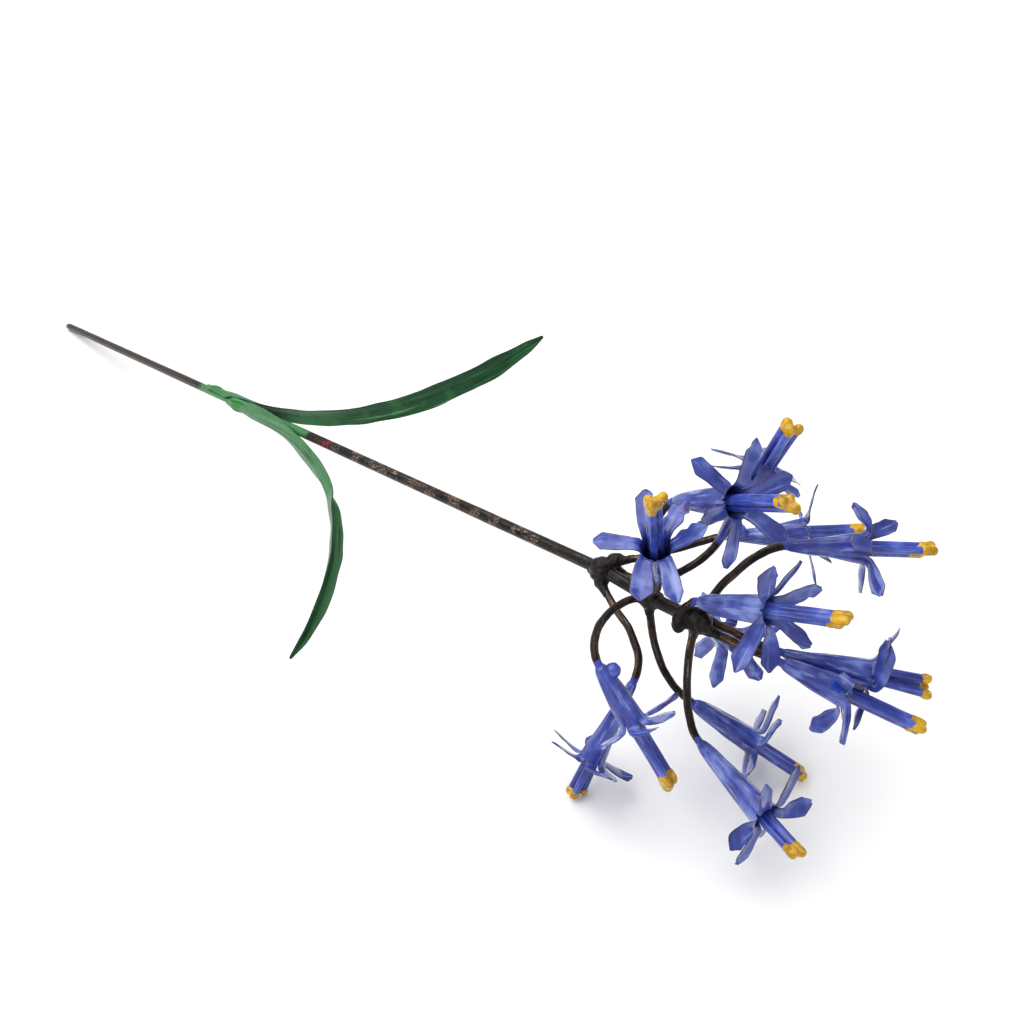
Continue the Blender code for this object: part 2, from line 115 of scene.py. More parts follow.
# Half widths: in the bend, at its end, at the middle, at the shoulders and at the tip
PETAL_BEND_HALVES = (3.3, 3.2)
PETAL_MIDDLE_HALF = 3.6
PETAL_SHOULDER_HALF = 4.0
PETAL_TIP_HALF = 0.7
PETAL_TIP_LEAST = 0.3
# Where along a petal its middle and its shoulders are, and the share of the mouth's side that it takes
PETAL_MIDDLE = 0.45
PETAL_SHOULDER = 0.8
PETAL_CHORD_SHARE = 0.95
# How much hand cutting and bending varies a petal: shares of length and width, millimetres, degrees
SHOULDER_VARIES = 0.07
WIDTH_VARIES = 0.12
TIP_VARIES = 0.6
EDGE_VARIES = 0.06
SKEW_VARIES = 0.9
TWIST_VARIES = 7
TWIST_VARIES_FROM = 0.15
CURL_VARIES = 16
CURL_VARIES_FROM = 0.5
# Petals that the finer sheet bends further than the solids do: lean, sway and twist
BENT_FURTHER = {("h", 4): (92, -102, 45), ("l", 4): (92, -46, -10)}
# Bites torn from a petal's edge: distance along it, side and depth as a share of its half width
BITES = {
    ("a", 1): ((12, 1, 0.45), (17, 1, 0.35), (14, -1, 0.3)),
    ("a", 2): ((9, 1, 0.3), (16, 1, 0.5), (13, -1, 0.35)),
    ("c", 1): ((9, -1, 0.4), (15, 1, 0.5)),
    ("h", 3): ((12, -1, 0.6), (17, 1, 0.5)),
    ("b", 2): ((18, 1, 0.5),),
    ("f", 1): ((17, -1, 0.4),),
}
BITE_REACH = 1.2
# Petals cut wider than the others
WIDER = {("a", 5): 1.2, ("a", 0): 1.06, ("a", 1): 1.3, ("a", 2): 1.15, ("k", 1): 1.1}

# Stamens
ROD_RADIUS = 1.83
ROD_CIRCLE = 1.95
ROD_STAGGER = 0.5
ROD_ROWS = 24
ROUND_SIDES = 18
# How far a rod wanders off its line, over what length, and how uneven its thickness is
ROD_WANDER = 0.1
ROD_WANDER_LENGTH = 16.0
ROD_UNEVEN = 0.02
# Weld metal in the grooves: how far out, its radius, and the share of the rods that it fills if apart
GROOVE_OUT = 0.56
GROOVE_RADIUS = 0.5
OPEN_GROOVE = 0.3
# Florets whose rods stay apart though they stand together
OPEN_BUNDLES = ("k",)
# How far a floret's upper rods stand out past its lower ones
SLANTS = {"b": -2.2, "e": 3.4, "f": 1.8, "j": -1.0, "k": 1.4, "l": -1.2}
# Rods that end elsewhere than the solid ones: how far out and how far along
TRIMMED = {
    ("c", 0): (-0.6, -2.4),
    ("c", 1): (0.0, -1.2),
    ("c", 2): (0.0, -1.6),
    ("h", 0): (-0.2, -1.4),
    ("h", 1): (0.8, 0.5),
    ("m", 0): (-0.5, -1.0),
}

# Tips: weld metal as rows of balls along the rod ends, with more balls between them
TIP_LENGTH = 6.0
TIP_END = 0.66
TIP_BALL = 2.1
TIP_SIZES = {"l": 2.5, "f": 2.25}
TIP_APART_BALL = 2.3
TIP_BETWEEN_BALL = 2.3
TIP_BETWEEN_SHARE = 0.6
TIP_BETWEEN_ROWS = 7
TIP_ROWS = 8
# The balls of a tip that stands apart grow from the first share of their size by the second
TIP_APART_GROWTH = (0.82, 0.18)
TIP_APART_GROWN = 5
TIP_VARIES_SIZE = 0.12
TIP_VARIES_END = 0.1
TIP_SMOOTHING = {"l": 60, "a": 10}
TIP_SMOOTHING_USUAL = 16
# How far a rod runs on inside its tip, and the share of a tip's length that is still blue
ROD_IN_TIP = 3.0
BLUE_TIPS = {"c": 0.25, "h": 0.3, "k": 0.15, "m": 0.45}
# A drop of weld metal that stands out of a tip: rod, how far out and along, and its size
DROPS = {"a": (1, 2.2, 5.4, 2.3), "e": (1, 0.6, 4.6, 2.1), "b": (0, 0.6, 3.6, 2.0)}

# Melted weld metal: voxel size, and its lumps as (size, height)
TIP_VOXEL = 0.33
TIP_LUMPS = ((2.8, 0.14), (1.1, 0.03))
KNOB_VOXEL = 0.35
KNOB_LUMPS = ((3.0, 0.12), (1.2, 0.04))
WELD_VOXEL = 0.45
WELD_LUMPS = ((6.0, 0.35), (2.6, 0.22), (1.2, 0.1))
WELD_SMOOTHING = 8
# Balls along the stem in a weld, and the balls that taper along the start of each wire
WELD_SHIFTS = (-5.5, -2.0, 3.0)
WELD_SHIFT_VARIES = 1.6
WELD_BALL = 4.3
WELD_WIRE_BALL = 3.4
WELD_WIRE_TAPER = 1.5
WELD_WIRE_ROWS = 12
WELD_WIRE_STEP = 0.7

# Wires and stem
WIRE_ROWS = 60
WIRE_WANDER = 0.35
WIRE_WANDER_LENGTH = 11.0
WIRE_UNEVEN = 0.03
STEM_ROWS = 150
STEM_HEAD_ROWS = 8
STEM_SIDES = 32
STEM_ROW_LENGTH = 5.4
STEM_UNEVEN = 0.015
STEM_UNEVEN_LENGTH = 30.0
STEM_END_SHARE = 0.9

# Leaves
LEAF_CLASP_SHARE = 0.2
LEAF_OPENING = 0.2
LEAF_SHARES = (0.0, 0.03, 0.15, 0.35, 0.55, 0.75, 0.88, 0.96, 1.0)
LEAF_HALF_WIDTHS = (4.4, 5.7, 5.9, 6.1, 6.6, 7.6, 6.8, 4.2, 0.8)
LEAF_SIDE = Vector((0.0, -0.9, -0.437))
LEAF_ROWS = 110
LEAF_COLUMNS = 14
LEAF_ROW_LENGTH = 2.2
# Fold of each half, how much deeper it gets further out and where, and how soft the crease is
LEAF_FOLD = 18.0
DEEP_FOLD = {"leaf_lower": 33.0}
DEEP_FOLD_FROM = 0.42
TURN_FROM = 0.5
TURN_RUN = 0.14
CREASE_SOFT = 0.15
# Bulges round the stem as (height, share of length, reach), and how much wider they make the strip
LEAF_BULGES = ((1.6, 0.06, 0.03), (2.0, 0.2, 0.09))
BULGE_WIDENS = 0.14
# How much further round the stem the near half reaches, and where it starts and ends, by side
LEAF_WRAP = 0.6
WRAP_START = 0.04
WRAP_FADE = 0.1
WRAP_ENDS = {1: 0.36, -1: 0.25}
LEAF_EDGE_VARIES = 0.06
LEAF_RIPPLE = 0.35
# Grain of a leaf: shift for each leaf, its share across and its run along
LEAF_GRAIN_SHIFT = 20
LEAF_GRAIN_ACROSS = 0.1
LEAF_GRAIN_RUN = 8.05


@dataclass
class Floret:
    """One floret: where it stands, where it aims, how its petals lie and how its wire runs."""

    name: str
    weld: int
    base: tuple
    heading: float
    rise: float
    cone: float
    reach: float
    roll: float
    leans: tuple
    sways: tuple
    wire_aim: tuple
    wire_out: float
    wire_back: float
    seat: tuple = (0, 0, 0)
    lengths: tuple = (PETAL_LENGTH,) * PETALS
    twists: tuple = (0,) * PETALS
    turn: float = 0.0
    splay: tuple = (0, 0, 0)
    knob: tuple = ()
    mouth: float = CONE_MOUTH_RADIUS


FLORETS = (
    Floret("a", 2, (794, -12, 111), -60, 61, 27, 65, roll=40, leans=(95, 50, 72, 80, 85, 95),
           sways=(-13, 15, -5, -27, 0, 29), wire_aim=(-35, 53), wire_out=12, wire_back=8,
           lengths=(22, 22, 18, 22, 21, 22)),
    Floret("b", 2, (790, -1, 144), -4, 24, 34, 65, roll=35, leans=(70, 65, 75, 105, 75, 95),
           sways=(0, 5, -5, 0, -10, 0), wire_aim=(-164, 64), wire_out=23, wire_back=8),
    Floret("c", 1, (801, 20, 122), 11, 69, 38, 69, roll=55, leans=(115, 105, 115, 85, 10, 80),
           sways=(10, 0, 0, 0, -10, 0), lengths=(21, 21, 21, 21, 12, 14),
           twists=(0, 0, 25, 40, 0, 0), wire_aim=(8, -9),
           wire_out=23, wire_back=20, seat=(2, 5.8, -1.5), turn=60, splay=(3, 0, 0)),
    Floret("d", 1, (789, 43, 108), 53, 0, 33, 65, roll=0, leans=(30, 75, 95, 85, 112, 90),
           sways=(0, 10, -5, 0, 0, 0), twists=(0, 0, -27, -24, 0, 21), wire_aim=(34, 8),
           wire_out=21, wire_back=14, seat=(3, 4, 5.5), knob=(4, 200)),
    Floret("e", 3, (826, 32, 125), 52, -4, 32.5, 65, roll=55, leans=(90, 20, 121, 155, 91, 80),
           sways=(20, 0, -4, -15, -6, 10), twists=(0, -60, 30, 0, -20, 0),
           lengths=(22, 22, 19, 18, 20, 20), wire_aim=(96, 44), wire_out=17, wire_back=12),
    Floret("f", 3, (809, -3, 103), 14, 15, 31, 66, roll=30, leans=(60, 50, 55, 75, 100, 85),
           sways=(-5, 0, 0, -25, 30, 5), twists=(0, 0, 0, -60, 50, 45),
           lengths=(23, 23, 21, 23, 29, 21), wire_aim=(-150, 80), wire_out=6, wire_back=4.5,
           seat=(-5, -6, -2.5)),
    Floret("g", 3, (800, 15, 78), 101, -42, 38, 65, roll=55, leans=(50, 90, 150, 85, 85, 75),
           sways=(-10, 20, -5, 0, 5, 0), wire_aim=(120, -40), wire_out=11, wire_back=9),
    Floret("h", 3, (839, 22, 80), 42, -12, 37, 67, roll=30, leans=(65, 43, 61, 98, 80, 90),
           sways=(0, -4, -20, -25, -105, 15), lengths=(22, 22, 22, 22, 27, 22),
           wire_aim=(44, -15), wire_out=17, wire_back=15,
           seat=(-1.5, 1.3, 0.2), turn=180, splay=(3, 0, 0)),
    Floret("i", 3, (843, 16, 80), 32, -19, 27.5, 66, roll=35, leans=(60, -4, 14, 157, 85, 100),
           sways=(-10, 0, 0, -20, 5, 30), twists=(0, 0, 0, 0, 0, -40),
           lengths=(23, 10.5, 10.5, 13, 23, 21), wire_aim=(30, -27), wire_out=18, wire_back=12,
           seat=(1.5, -1.3, -0.2)),
    Floret("j", 2, (808, 4, 41), 40, -34, 34, 68, roll=35, leans=(52, 75, 105, 110, 105, 60),
           sways=(5, 0, 0, -25, -10, 0), wire_aim=(-38, -79), wire_out=26, wire_back=16,
           lengths=(22, 22, 22, 22, 22, 20), mouth=5.6),
    Floret("k", 3, (825, -11, 38), -11, -7, 43, 66, roll=25, leans=(105, 85, 100, 90, 75, 85),
           sways=(-5, -5, 0, -10, 5, 10), twists=(0, -45, 0, 0, 55, 0), wire_aim=(-90, -76),
           wire_out=24, wire_back=12, turn=60, mouth=5.9),
    Floret("l", 2, (798, -51, 87), 19, -54, 27.5, 64, roll=0, leans=(61, 60, 79, 97, 91, 103),
           sways=(-12, 0, -12, 12, -30, -30), lengths=(20, 15, 22, 21, 19, 17),
           wire_aim=(-131, 1), wire_out=20, wire_back=14, knob=(5, 150), mouth=5.4),
    Floret("m", 1, (795, -24, 61), -107, -64, 42, 66, roll=5, leans=(73, 103, 115, 110, 80, 85),
           sways=(12, 40, -20, 0, 15, 0), twists=(0, 0, 0, 20, 30, 0),
           lengths=(21, 14, 22, 22, 22, 22), wire_aim=(-20, -28), wire_out=19, wire_back=20,
           seat=(2, -3, -4.5), splay=(3, 0, 0), mouth=5.6),
)

# The two leaves: side of the stem, twists, and the run of the crease as (distance along the stem,
# distance from its middle), after the place where the clasp starts
CLASP = STEM_RADIUS + GAP + LEAF_SHEET / 2 + 0.05
LEAVES = {
    "leaf_lower": (1, (-46, 9), (362, (408, CLASP), (530, 5), (606, 54), (632, 123))),
    "leaf_upper": (-1, (-14, -14), (322, (370, CLASP), (500, 4), (560, 50), (587, 133))),
}


# Helpers

def direction(heading, rise):
    """The unit vector at a compass heading round Z and a rise above the ground."""
    flat = math.cos(math.radians(rise))
    turned = math.radians(heading)
    return Vector((math.cos(turned) * flat, math.sin(turned) * flat, math.sin(math.radians(rise))))


def bezier(ends, share):
    """The point of a cubic curve at a share of its run."""
    a, b, c, d = ends
    rest = 1 - share
    return a * rest**3 + b * 3 * rest**2 * share + c * 3 * rest * share**2 + d * share**3


def ease(share):
    """A share from 0 to 1 that starts and ends gently."""
    share = min(max(share, 0.0), 1.0)
    return share * share * (3 - 2 * share)


def between(stations, values, at):
    """The value at a place between stations, straight from one to the next."""
    for k in range(1, len(stations)):
        if at <= stations[k]:
            part = (at - stations[k - 1]) / (stations[k] - stations[k - 1])
            return values[k - 1] + (values[k] - values[k - 1]) * part
    return values[-1]


def waver(point, size, seed):
    """Smooth noise between about -1 and 1, with waves of a size in millimetres."""
    return 2 * noise.noise(Vector(point) / size + Vector((seed * 7.31, seed * 3.17, seed * 5.71)))


def floret_matrix(floret):
    """Puts +Z along the floret and its X side down, with the origin on its closed base."""
    turn = Matrix.Rotation(math.radians(floret.heading), 4, "Z")
    tilt = Matrix.Rotation(math.radians(90 - floret.rise), 4, "Y")
    return Matrix.Translation(Vector(floret.base)) @ turn @ tilt


def wire_ends(floret):
    """The four points of the curve that a floret's wire follows, its end 1 mm inside the cone."""
    start = WELDS[floret.weld] + Vector(floret.seat)
    aim = direction(floret.heading, floret.rise)
    end = Vector(floret.base) + aim * 1.0
    leaving = start + direction(*floret.wire_aim) * floret.wire_out
    return start, leaving, end - aim * (floret.wire_back + 1), end


# Making pieces

def attribute(mesh, key, values, vector=False):
    """Gives each point of a mesh a number, or a vector, that the materials read."""
    layer = mesh.attributes.new(key, "FLOAT_VECTOR" if vector else "FLOAT", "POINT")
    layer.data.foreach_set("vector" if vector else "value", values)


def finished(name, points, faces, materials, grain=None, near=None, depth=None, closed=True):
    """A smooth object from points in the source's millimetres, moved to the frame's place."""
    mesh = bpy.data.meshes.new(name)
    mesh.from_pydata([tuple((Vector(p) - MIDDLE) * MM) for p in points], [], faces)
    if grain:
        attribute(mesh, "grain", [c for g in grain for c in g], vector=True)
    if near:
        attribute(mesh, "near_edge", near)
    if depth:
        attribute(mesh, "depth", depth)
    if closed:
        shape = bmesh.new()
        shape.from_mesh(mesh)
        bmesh.ops.recalc_face_normals(shape, faces=shape.faces)
        shape.to_mesh(mesh)
        shape.free()
    made = bpy.data.objects.new(name, mesh)
    bpy.context.scene.collection.objects.link(made)
    for finish in materials:
        mesh.materials.append(finish)
    mesh.shade_smooth()
    return made


def applied(obj):
    """Applies the object's modifiers to its mesh."""
    bpy.context.view_layer.update()
    graph = bpy.context.evaluated_depsgraph_get()
    mesh = bpy.data.meshes.new_from_object(obj.evaluated_get(graph))
    obj.modifiers.clear()
    old = obj.data
    obj.data = mesh
    bpy.data.meshes.remove(old)
    mesh.shade_smooth()


def thickened(obj, thickness, far_side, clamp=0.0):
    """Gives a sheet its thickness, its rim and far side their materials, and rounds it."""
    solid = obj.modifiers.new("Thickness", "SOLIDIFY")
    solid.thickness = thickness * MM
    solid.offset = 0.0
    solid.use_even_offset = True
    solid.thickness_clamp = clamp
    solid.material_offset = far_side
    solid.material_offset_rim = 1
    smooth = obj.modifiers.new("Round", "SUBSURF")
    smooth.levels = 1
    smooth.render_levels = 1
    applied(obj)


def mounted(obj, slot, *nodes):
    """Ties the piece to the frame: it rides on the root, and the frame's parts for the nodes named are
    hidden.
    """
    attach(obj, "root")
    if nodes:
        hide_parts(*nodes)


def tube(path, radii, sides):
    """Rings along a path, closed at both ends: points, faces and grain."""
    along = (path[1] - path[0]).normalized()
    side = along.orthogonal().normalized()
    up = along.cross(side)
    points, grain = [], []
    travelled = 0.0
    for k, centre in enumerate(path):
        ahead = (path[min(k + 1, len(path) - 1)] - path[max(k - 1, 0)]).normalized()
        turn = along.rotation_difference(ahead)
        side, up, along = turn @ side, turn @ up, ahead
        if k:
            travelled += (centre - path[k - 1]).length
        for j in range(sides):
            t = math.tau * j / sides
            points.append(centre + radii[k] * (math.cos(t) * side + math.sin(t) * up))
            grain.append((radii[k] * math.cos(t), radii[k] * math.sin(t), travelled * GRAIN_STRETCH))
    faces = []
    for row in range(len(path) - 1):
        for j in range(sides):
            near, far = row * sides, (row + 1) * sides
            faces.append((near + j, near + (j + 1) % sides, far + (j + 1) % sides, far + j))
    for first, centre in ((0, path[0]), (len(points) - sides, path[-1])):
        points.append(centre)
        grain.append((0.0, 0.0, grain[first][2]))
        faces += [(first + j, first + (j + 1) % sides, len(points) - 1) for j in range(sides)]
    return points, faces, grain


def ball(centre, *radii):
    """Points and faces of a rounded lump, from one radius or from three."""
    if len(radii) == 1:
        radii = radii * 3
    shape = bmesh.new()
    bmesh.ops.create_icosphere(shape, subdivisions=3, radius=1.0)
    points = [centre + Vector([r * c for r, c in zip(radii, v.co)]) for v in shape.verts]
    faces = [tuple(v.index for v in f.verts) for f in shape.faces]
    shape.free()
    return points, faces


def gathered(shapes):
    """Several (points, faces) as one pair of lists."""
    points, faces = [], []
    for more_points, more_faces in shapes:
        start = len(points)
        points += more_points
        faces += [tuple(start + v for v in face) for face in more_faces]
    return points, faces


def melted(name, shapes, finish, voxel, lumps, seed, smooth=6):
    """Closed shapes run together as molten metal: remeshed as one skin, smoothed and roughened."""
    obj = finished(name, *gathered(shapes), [finish])
    remesh = obj.modifiers.new("Melt", "REMESH")
    remesh.mode = "VOXEL"
    remesh.voxel_size = voxel * MM
    soften = obj.modifiers.new("Soften", "SMOOTH")
    soften.iterations = smooth
    soften.factor = 0.6
    applied(obj)
    normals = [v.normal.copy() for v in obj.data.vertices]
    for v, normal in zip(obj.data.vertices, normals):
        move = sum(height * waver(v.co / MM, size, seed + k) for k, (size, height) in enumerate(lumps))
        v.co += normal * move * MM
    return obj


# Materials

def linear(*levels):
    """A colour given in the usual 0 to 255 levels, as Blender wants it."""
    shares = [c / 255 for c in levels]
    return tuple(((s + 0.055) / 1.055) ** 2.4 if s > 0.04 else s / 12.92 for s in shares) + (1.0,)


# Paints and steels, each from its deepest tone to its palest
SHEET_BLUES = linear(36, 46, 124), linear(66, 82, 164), linear(142, 156, 214)
RIM_BLUES = linear(46, 42, 80), linear(86, 90, 150), linear(142, 156, 214)
ROD_BLUES = linear(26, 38, 122), linear(54, 74, 168), linear(120, 138, 210)
YELLOWS = linear(156, 112, 0), linear(202, 156, 2), linear(232, 204, 62)
WIRE_BROWNS = linear(11, 10, 9), linear(44, 35, 30), linear(142, 110, 84)
WELD_BROWNS = linear(11, 10, 9), linear(32, 27, 24), linear(104, 86, 70)
ROD_BROWNS = linear(12, 11, 10), linear(38, 33, 30), linear(88, 76, 68)
MOUTH_SHADE = linear(18, 19, 46)
# Painted shade deep inside a cone's mouth
BLUE_ON_WIRE = linear(62, 70, 160)
# Bare, worn edge colour, also laid as painted shade in the grooves between stamen rods
EDGE_WEAR_AND_GROOVE_SHADE = linear(46, 30, 40)
# Dark amber laid in random spots over the yellow weld paint
YELLOW_DARK_SPOTS = linear(96, 58, 8)
CUT_END_BROWN = linear(52, 40, 33)
BARE_STEEL = linear(206, 172, 150)
RED_PAINT = linear(122, 18, 26)
GREEN_ON_STEM = linear(58, 118, 68)
LEAF_BASE = linear(46, 116, 56)
LEAF_NEAR = linear(68, 116, 78)
LEAF_WASH = linear(50, 110, 62)
LEAF_PALE_SHEEN = linear(116, 156, 124)
# Pale green of the brush streaks, partly a painted sheen
LEAF_DARK = linear(8, 42, 18)
LEAF_CREASE = linear(10, 42, 20)
LEAF_BARE = linear(22, 34, 26)
# Painted shade in the gap between a leaf's inner face and the stem
LEAF_GAP_SHADE = linear(10, 20, 12)
LEAF_DEEP = linear(30, 80, 44)
# Deeper greens of the leaves' inner faces, reached sooner than on the outer face: painted shade
LOWER_INSIDE_SHADE = linear(42, 100, 54)
UPPER_INSIDE_SHADE = linear(28, 72, 40)

# Patches of other colour laid over the blue: place, size, colour and how much they cover. The first is a
# darker blue patch at the tip of floret i's folded-back petal.
MARKS = (
    ((865.3, 24.8, 76.2), 1.6, linear(22, 56, 150), 1.0),
    ((802.1, -9.2, 148.8), 0.3, linear(130, 32, 70), 0.8),
    ((838.2, 9.0, 144.8), 0.6, linear(134, 126, 140), 0.5),
)
# How ragged a mark's outline is, and from where to where past its size it fades
MARK_RAGGED = 7.0
MARK_FADE = (4.1, 3.3)
# Stretches of the stem: browned near its cut end, scratched, flecked with red and painted green
BROWNED = (-20, 300)
SCRATCHED = (505, 725)
FLECKED = (486, 512)
GREENED = (308, 478)
PAINT_RAGGED = 26
# Enamel: how much its streaks cover, and its roughness where smooth, streaked, bare and coated
STREAK_COVER = 0.55
ENAMEL_ROUGH = (0.16, 0.3)
BARE_ROUGH = 0.6
COAT_ROUGH = 0.12


class Finish:
    """A node material under construction."""

    def __init__(self, name):
        self.material = bpy.data.materials.new(name)
        self.material.use_nodes = True
        self.tree = self.material.node_tree
        self.shader = self.tree.nodes["Principled BSDF"]

    def node(self, kind, output, inputs, **settings):
        """One output of a new node, its inputs each fed by a value or by another node's output."""
        made = self.tree.nodes.new("ShaderNode" + kind)
        for key, value in settings.items():
            setattr(made, key, value)
        for key, value in inputs.items():
            self.feed(made.inputs[key], value)
        return made.outputs[output]

    def feed(self, socket, value):
        if isinstance(value, bpy.types.NodeSocket):
            self.tree.links.new(value, socket)
        else:
            socket.default_value = value

    def stored(self, key, output="Fac"):
        """What the mesh's attribute of that name holds."""
        return self.node("Attribute", output, {}, attribute_name=key)

    def grain(self):
        return self.stored("grain", "Vector")

    def place(self):
        return self.node("TexCoord", "Object", {})

    def axis(self, vector, letter):
        """One of the three parts of a vector."""
        return self.node("SeparateXYZ", letter, {"Vector": vector})

    def noise(self, vector, scale, detail=3.0, rough=0.55, distortion=0.0):
        inputs = {"Vector": vector, "Scale": scale, "Detail": detail, "Roughness": rough}
        return self.node("TexNoise", "Fac", inputs | {"Distortion": distortion})

    def along_grain(self, grain, scale, detail, rough=0.55, distortion=0.0):
        """Noise drawn out along the grain."""
        inputs = {"Vector": grain, "Scale": scale}
        drawn_out = self.node("Mapping", "Vector", inputs, vector_type="POINT")
        return self.noise(drawn_out, 1.0, detail, rough, distortion)

    def ramp(self, value, low, high, soft=False):
        """A share that rises from 0 to 1 between two values."""
        inputs = {"Value": value, "From Min": low, "From Max": high}
        kind = "SMOOTHSTEP" if soft else "LINEAR"
        return self.node("MapRange", "Result", inputs, interpolation_type=kind)

    def math(self, kind, a, b=0.0):
        return self.node("Math", "Value", {0: a, 1: b}, operation=kind)

    def times(self, a, b):
        return self.math("MULTIPLY", a, b)

    def less(self, a, b):
        return self.math("SUBTRACT", a, b)

    def mix(self, share, a, b):
        return self.node("Mix", 2, {"Factor": share, 6: a, 7: b}, data_type="RGBA")

    def laid(self, colour, over, share, cover):
        """One colour laid over another where the share is high, as far as it covers."""
        return self.mix(self.times(share, cover), colour, over)

    def level(self, share, a, b):
        return self.node("Mix", 0, {"Factor": share, 2: a, 3: b}, data_type="FLOAT")

    def bump(self, height, distance, strength=1.0, under=None):
        inputs = {"Height": height, "Distance": distance * MM, "Strength": strength}
        return self.node("Bump", "Normal", inputs | ({"Normal": under} if under else {}))

    def marked(self, colour, place, centre, size, paint, cover):
        """A ragged dab of another colour at one place."""
        inputs = {0: place, 1: (Vector(centre) - MIDDLE) * MM}
        away = self.node("VectorMath", "Value", inputs, operation="DISTANCE")
        ragged = self.times(self.noise(place, 420.0, detail=4.0), MARK_RAGGED * MM)
        uneven = self.math("ADD", away, ragged)
        inside = self.ramp(uneven, (size + MARK_FADE[0]) * MM, (size + MARK_FADE[1]) * MM)
        return self.laid(colour, paint, inside, cover)

    def done(self, colour, roughness, normal=None, metallic=0.0, coat=0.0, specular=0.5):
        """The material, with the paint's colour, gloss and clear coat as given."""
        inputs = {"Base Color": colour, "Roughness": roughness, "Metallic": metallic}
        inputs |= {"Coat Weight": coat, "Coat Roughness": COAT_ROUGH, "Specular IOR Level": specular}
        for key, value in (inputs | ({"Normal": normal} if normal else {})).items():
            self.feed(self.shader.inputs[key], value)
        return self.material


def enamel(name, deep, middle, pale, edge_width, streaks=1.0, inside=None):
    """Brushed enamel on sheet: streaks along the grain, thin dark edges and a few chips, with painted shade
    in the grooves between rods and deep inside a cone's mouth.
    """
    f = Finish(name)
    grain = f.grain()
    place = f.place()
    streak = f.along_grain(grain, (0.5, 0.5, 0.8), detail=2.5, rough=0.5)
    wash = f.noise(place, 75.0, detail=2.5, rough=0.6)
    colour = f.mix(f.ramp(wash, 0.36, 0.58), deep, middle)
    colour = f.laid(colour, pale, f.ramp(wash, 0.52, 0.7, soft=True), 0.5)
    colour = f.laid(colour, pale, f.ramp(streak, 0.54, 0.72, soft=True), STREAK_COVER * streaks)
    colour = f.laid(colour, deep, f.ramp(streak, 0.46, 0.3, soft=True), STREAK_COVER * streaks)
    width = f.times(f.ramp(f.noise(place, 900.0, detail=2.0), 0.3, 0.7), edge_width)
    # Worn edges, and on the rods painted shade in the grooves between them
    worn = f.times(f.ramp(f.less(f.stored("near_edge"), width), 0.12, -0.05), 0.85)
    chips = f.ramp(f.noise(place, 240.0, detail=5.0, rough=0.7), 0.715, 0.735)
    worn = f.math("MAXIMUM", worn, chips)
    colour = f.mix(worn, colour, EDGE_WEAR_AND_GROOVE_SHADE)
    for mark in MARKS:
        colour = f.marked(colour, place, *mark)
    # Painted shade: the far side darkens the deeper it lies in the cone's mouth
    if inside:
        colour = f.mix(f.ramp(f.stored("depth"), 0.5, 8.0, soft=True), colour, inside)
    fine = f.along_grain(grain, (1.5, 1.5, 1.2), detail=1.5)
    normal = f.bump(f.noise(place, 170.0, detail=0.5), 0.5, 0.6)
    normal = f.bump(fine, 0.06, 0.3, under=normal)
    rough = f.level(worn, f.level(f.ramp(streak, 0.3, 0.7), *ENAMEL_ROUGH), BARE_ROUGH)
    return f.done(colour, rough, normal, coat=0.3, specular=0.4)


def weld_paint(name, deep, middle, pale, dark_spots):
    """Thick enamel over lumpy weld metal."""
    f = Finish(name)
    place = f.place()
    colour = f.mix(f.ramp(f.noise(place, 220.0, detail=2.0), 0.38, 0.6), deep, middle)
    spots = f.noise(place, 420.0, detail=3.0, rough=0.6)
    colour = f.laid(colour, pale, f.ramp(spots, 0.56, 0.7), 0.35)
    # Dark amber laid where the spot noise is low
    colour = f.laid(colour, dark_spots, f.ramp(spots, 0.37, 0.3), 0.6)
    normal = f.bump(f.noise(place, 380.0, detail=2.0), 0.1, 0.6)
    return f.done(colour, f.level(f.ramp(spots, 0.3, 0.7), 0.16, 0.34), normal, coat=0.3, specular=0.3)


class Patina(Finish):
    """Dark heat-blued steel with brown and bronze streaks along it."""

    def __init__(self, name, dark, brown, bronze, spot_scale, bump_height):
        super().__init__(name)
        self.ways = self.grain()
        self.spot = self.place()
        streak = self.along_grain(self.ways, (0.9, 0.9, 1.0), detail=4.0, rough=0.6)
        wash = self.noise(self.spot, 120.0, detail=4.0, rough=0.65)
        colour = self.mix(self.ramp(wash, 0.38, 0.62), dark, brown)
        shine = self.ramp(streak, 0.52, 0.66, soft=True)
        colour = self.laid(colour, bronze, shine, 0.75)
        spots = self.noise(self.spot, spot_scale, detail=5.0, rough=0.7)
        self.colour = self.laid(colour, dark, self.ramp(spots, 0.52, 0.38), 0.75)
        self.metal = self.level(shine, 0.3, 0.7)
        self.rough = self.level(self.ramp(spots, 0.35, 0.65), 0.46, 0.28)
        self.normal = self.bump(self.noise(self.spot, spot_scale, detail=4.0, rough=0.7), bump_height, 0.8)

    def painted(self, share, colour):
        """Paint over the steel where the share is high."""
        self.colour = self.mix(share, self.colour, colour)
        self.metal = self.level(share, self.metal, 0.0)

    def band(self, start, end, ragged, soft=6.0):
        """A share that is high between two distances along the stem, with ragged ends."""
        along = self.axis(self.spot, "X")
        wander = self.times(self.less(self.noise(self.spot, 160.0), 0.5), ragged * MM)
        x = self.math("ADD", along, wander)
        first, last = (start - MIDDLE.x) * MM, (end - MIDDLE.x) * MM
        return self.times(self.ramp(x, first, first + soft * MM), self.ramp(x, last, last - soft * MM))

    def finish(self):
        return self.done(self.colour, self.rough, self.normal, metallic=self.metal, coat=0.05, specular=0.2)


def wire_steel():
    """Wire steel, with the blue paint of the floret run a little way up its end."""
    f = Patina("dark_steel_wire", *WIRE_BROWNS, 650.0, 0.15)
    wander = f.times(f.noise(f.spot, 320.0), 5.0)
    f.painted(f.ramp(f.less(f.stored("near_edge"), wander), 1.2, 0.4), BLUE_ON_WIRE)
    return f.finish()


